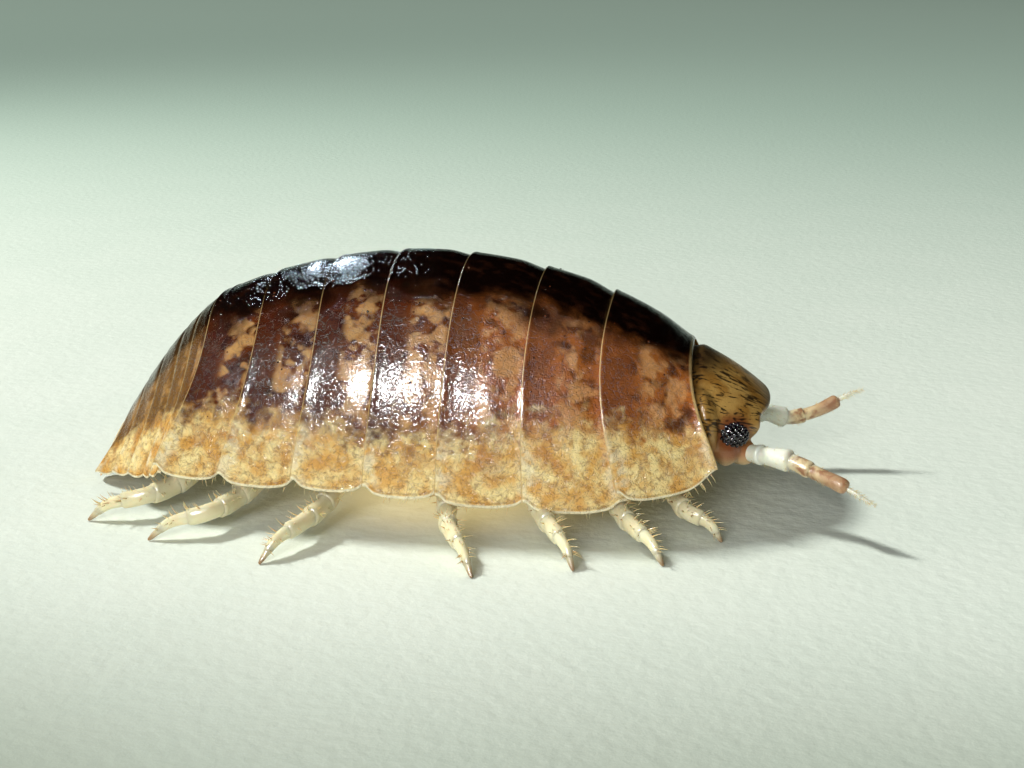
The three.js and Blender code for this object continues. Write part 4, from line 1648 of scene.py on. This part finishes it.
def hang(name, data, target, direction, distance, tint, glossy, diffuse):
    data.color = tint
    made = add_object(name, data)
    made.location = target + direction * distance * MM
    made.rotation_mode = "QUATERNION"
    made.rotation_quaternion = direction.to_track_quat("Z", "Y")
    made.visible_glossy = glossy
    made.visible_diffuse = diffuse
    made.visible_camera = False
    print(name, "direction", [round(part, 2) for part in direction], "power, W:", round(data.energy, 4))


def disk_lamp(name, target, direction, distance, size, radiance, tint, glossy=True, diffuse=True):
    data = bpy.data.lights.new(name, "AREA")
    data.shape = "DISK"
    data.size = size * MM
    data.energy = radiance * math.pi * math.pi * (size * MM / 2) ** 2
    hang(name, data, target, direction, distance, tint, glossy, diffuse)


def cone_lamp(name, target, direction, distance, size, reach, brightness, tint):
    data = bpy.data.lights.new(name, "SPOT")
    data.shadow_soft_size = size * MM
    data.spot_size = 2 * math.atan(reach / distance)
    data.spot_blend = 1.0
    data.energy = brightness * 4 * math.pi * (distance * MM) ** 2
    hang(name, data, target, direction, distance, tint, False, True)


flank, flank_way = mirror_direction(FLANK_PLACE, FLANK_TURN)
rump, rump_way = mirror_direction(RUMP_PLACE, RUMP_TURN)
print("turn between the two glints' lamps:", round(math.degrees(flank_way.angle(rump_way))), "degrees")

# %% [markdown]
# ### Six lamps
#
# Distances and sizes are in millimetres, as in the rest of the scene. The two glints are placed by a spot of
# the vault each, given in plates along the body and in degrees from the ridge.

# %% Six lamps
GLINT_WHITE = (1.0, 0.98, 0.96)
GLINT_BLUE = (0.72, 0.87, 1.0)
KEY_WHITE = (1.0, 0.99, 0.95)
WIDE_WHITE = (0.95, 1.0, 0.97)
FILL_WHITE = (1.0, 0.99, 0.96)
GLOW_AMBER = (1.0, 0.74, 0.4)

disk_lamp("flank_glint", flank, flank_way, 11, size=2.0, radiance=600, tint=GLINT_WHITE, diffuse=False)
disk_lamp("rump_glint", rump, rump_way, 16, size=1.1, radiance=170, tint=GLINT_BLUE, diffuse=False)

middle = Vector((-1 * MM, 0, 0))
behind = Vector((-2 * MM, 6 * MM, 0))
key_way = Vector((-0.62, 0.2, 0.76)).normalized()
cone_lamp("key_lamp", behind, key_way, 110, size=6, reach=600, brightness=1.8, tint=KEY_WHITE)
cone_lamp("wide_lamp", middle, key_way, 1500, size=90, reach=900, brightness=1.6, tint=WIDE_WHITE)

front_way = Vector((-0.2, -0.93, 0.32)).normalized()
disk_lamp("front_lamp", middle, front_way, 600, size=300, radiance=11.5, tint=FILL_WHITE, glossy=False)
under_belly = Vector((-0.5 * MM, -0.8 * MM, 0))
upward = Vector((0, 0, 1))
disk_lamp("belly_glow", under_belly, upward, 1.15, size=5, radiance=0.9, tint=GLOW_AMBER, glossy=False)

# %% [markdown]
# ### Sky
#
# The sky lights the shadows a little from all sides, so that nothing turns black. It is hidden from the gloss,
# because its even mirror image would veil the dark ridge. The Standard view transform shows colours as they
# are, without the softening that Blender starts with.

# %% Sky
SKY_TINT = (0.86, 0.95, 0.9, 1)
SKY_STRENGTH = 0.11

world = bpy.data.worlds.new("sky")
bpy.context.scene.world = world
world.use_nodes = True
world.cycles_visibility.glossy = False
sky = world.node_tree.nodes["Background"]
sky.inputs["Color"].default_value = SKY_TINT
sky.inputs["Strength"].default_value = SKY_STRENGTH
bpy.context.scene.view_settings.view_transform = "Standard"
print("sky strength:", SKY_STRENGTH)

# %% Finish
low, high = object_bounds()
sizes = {
    "cad": [list(cad_low), list(cad_high)],
    "visual": [list(low), list(high)],
}
print("dressed model, mm:", [round(1000 * side, 2) for side in high - low])
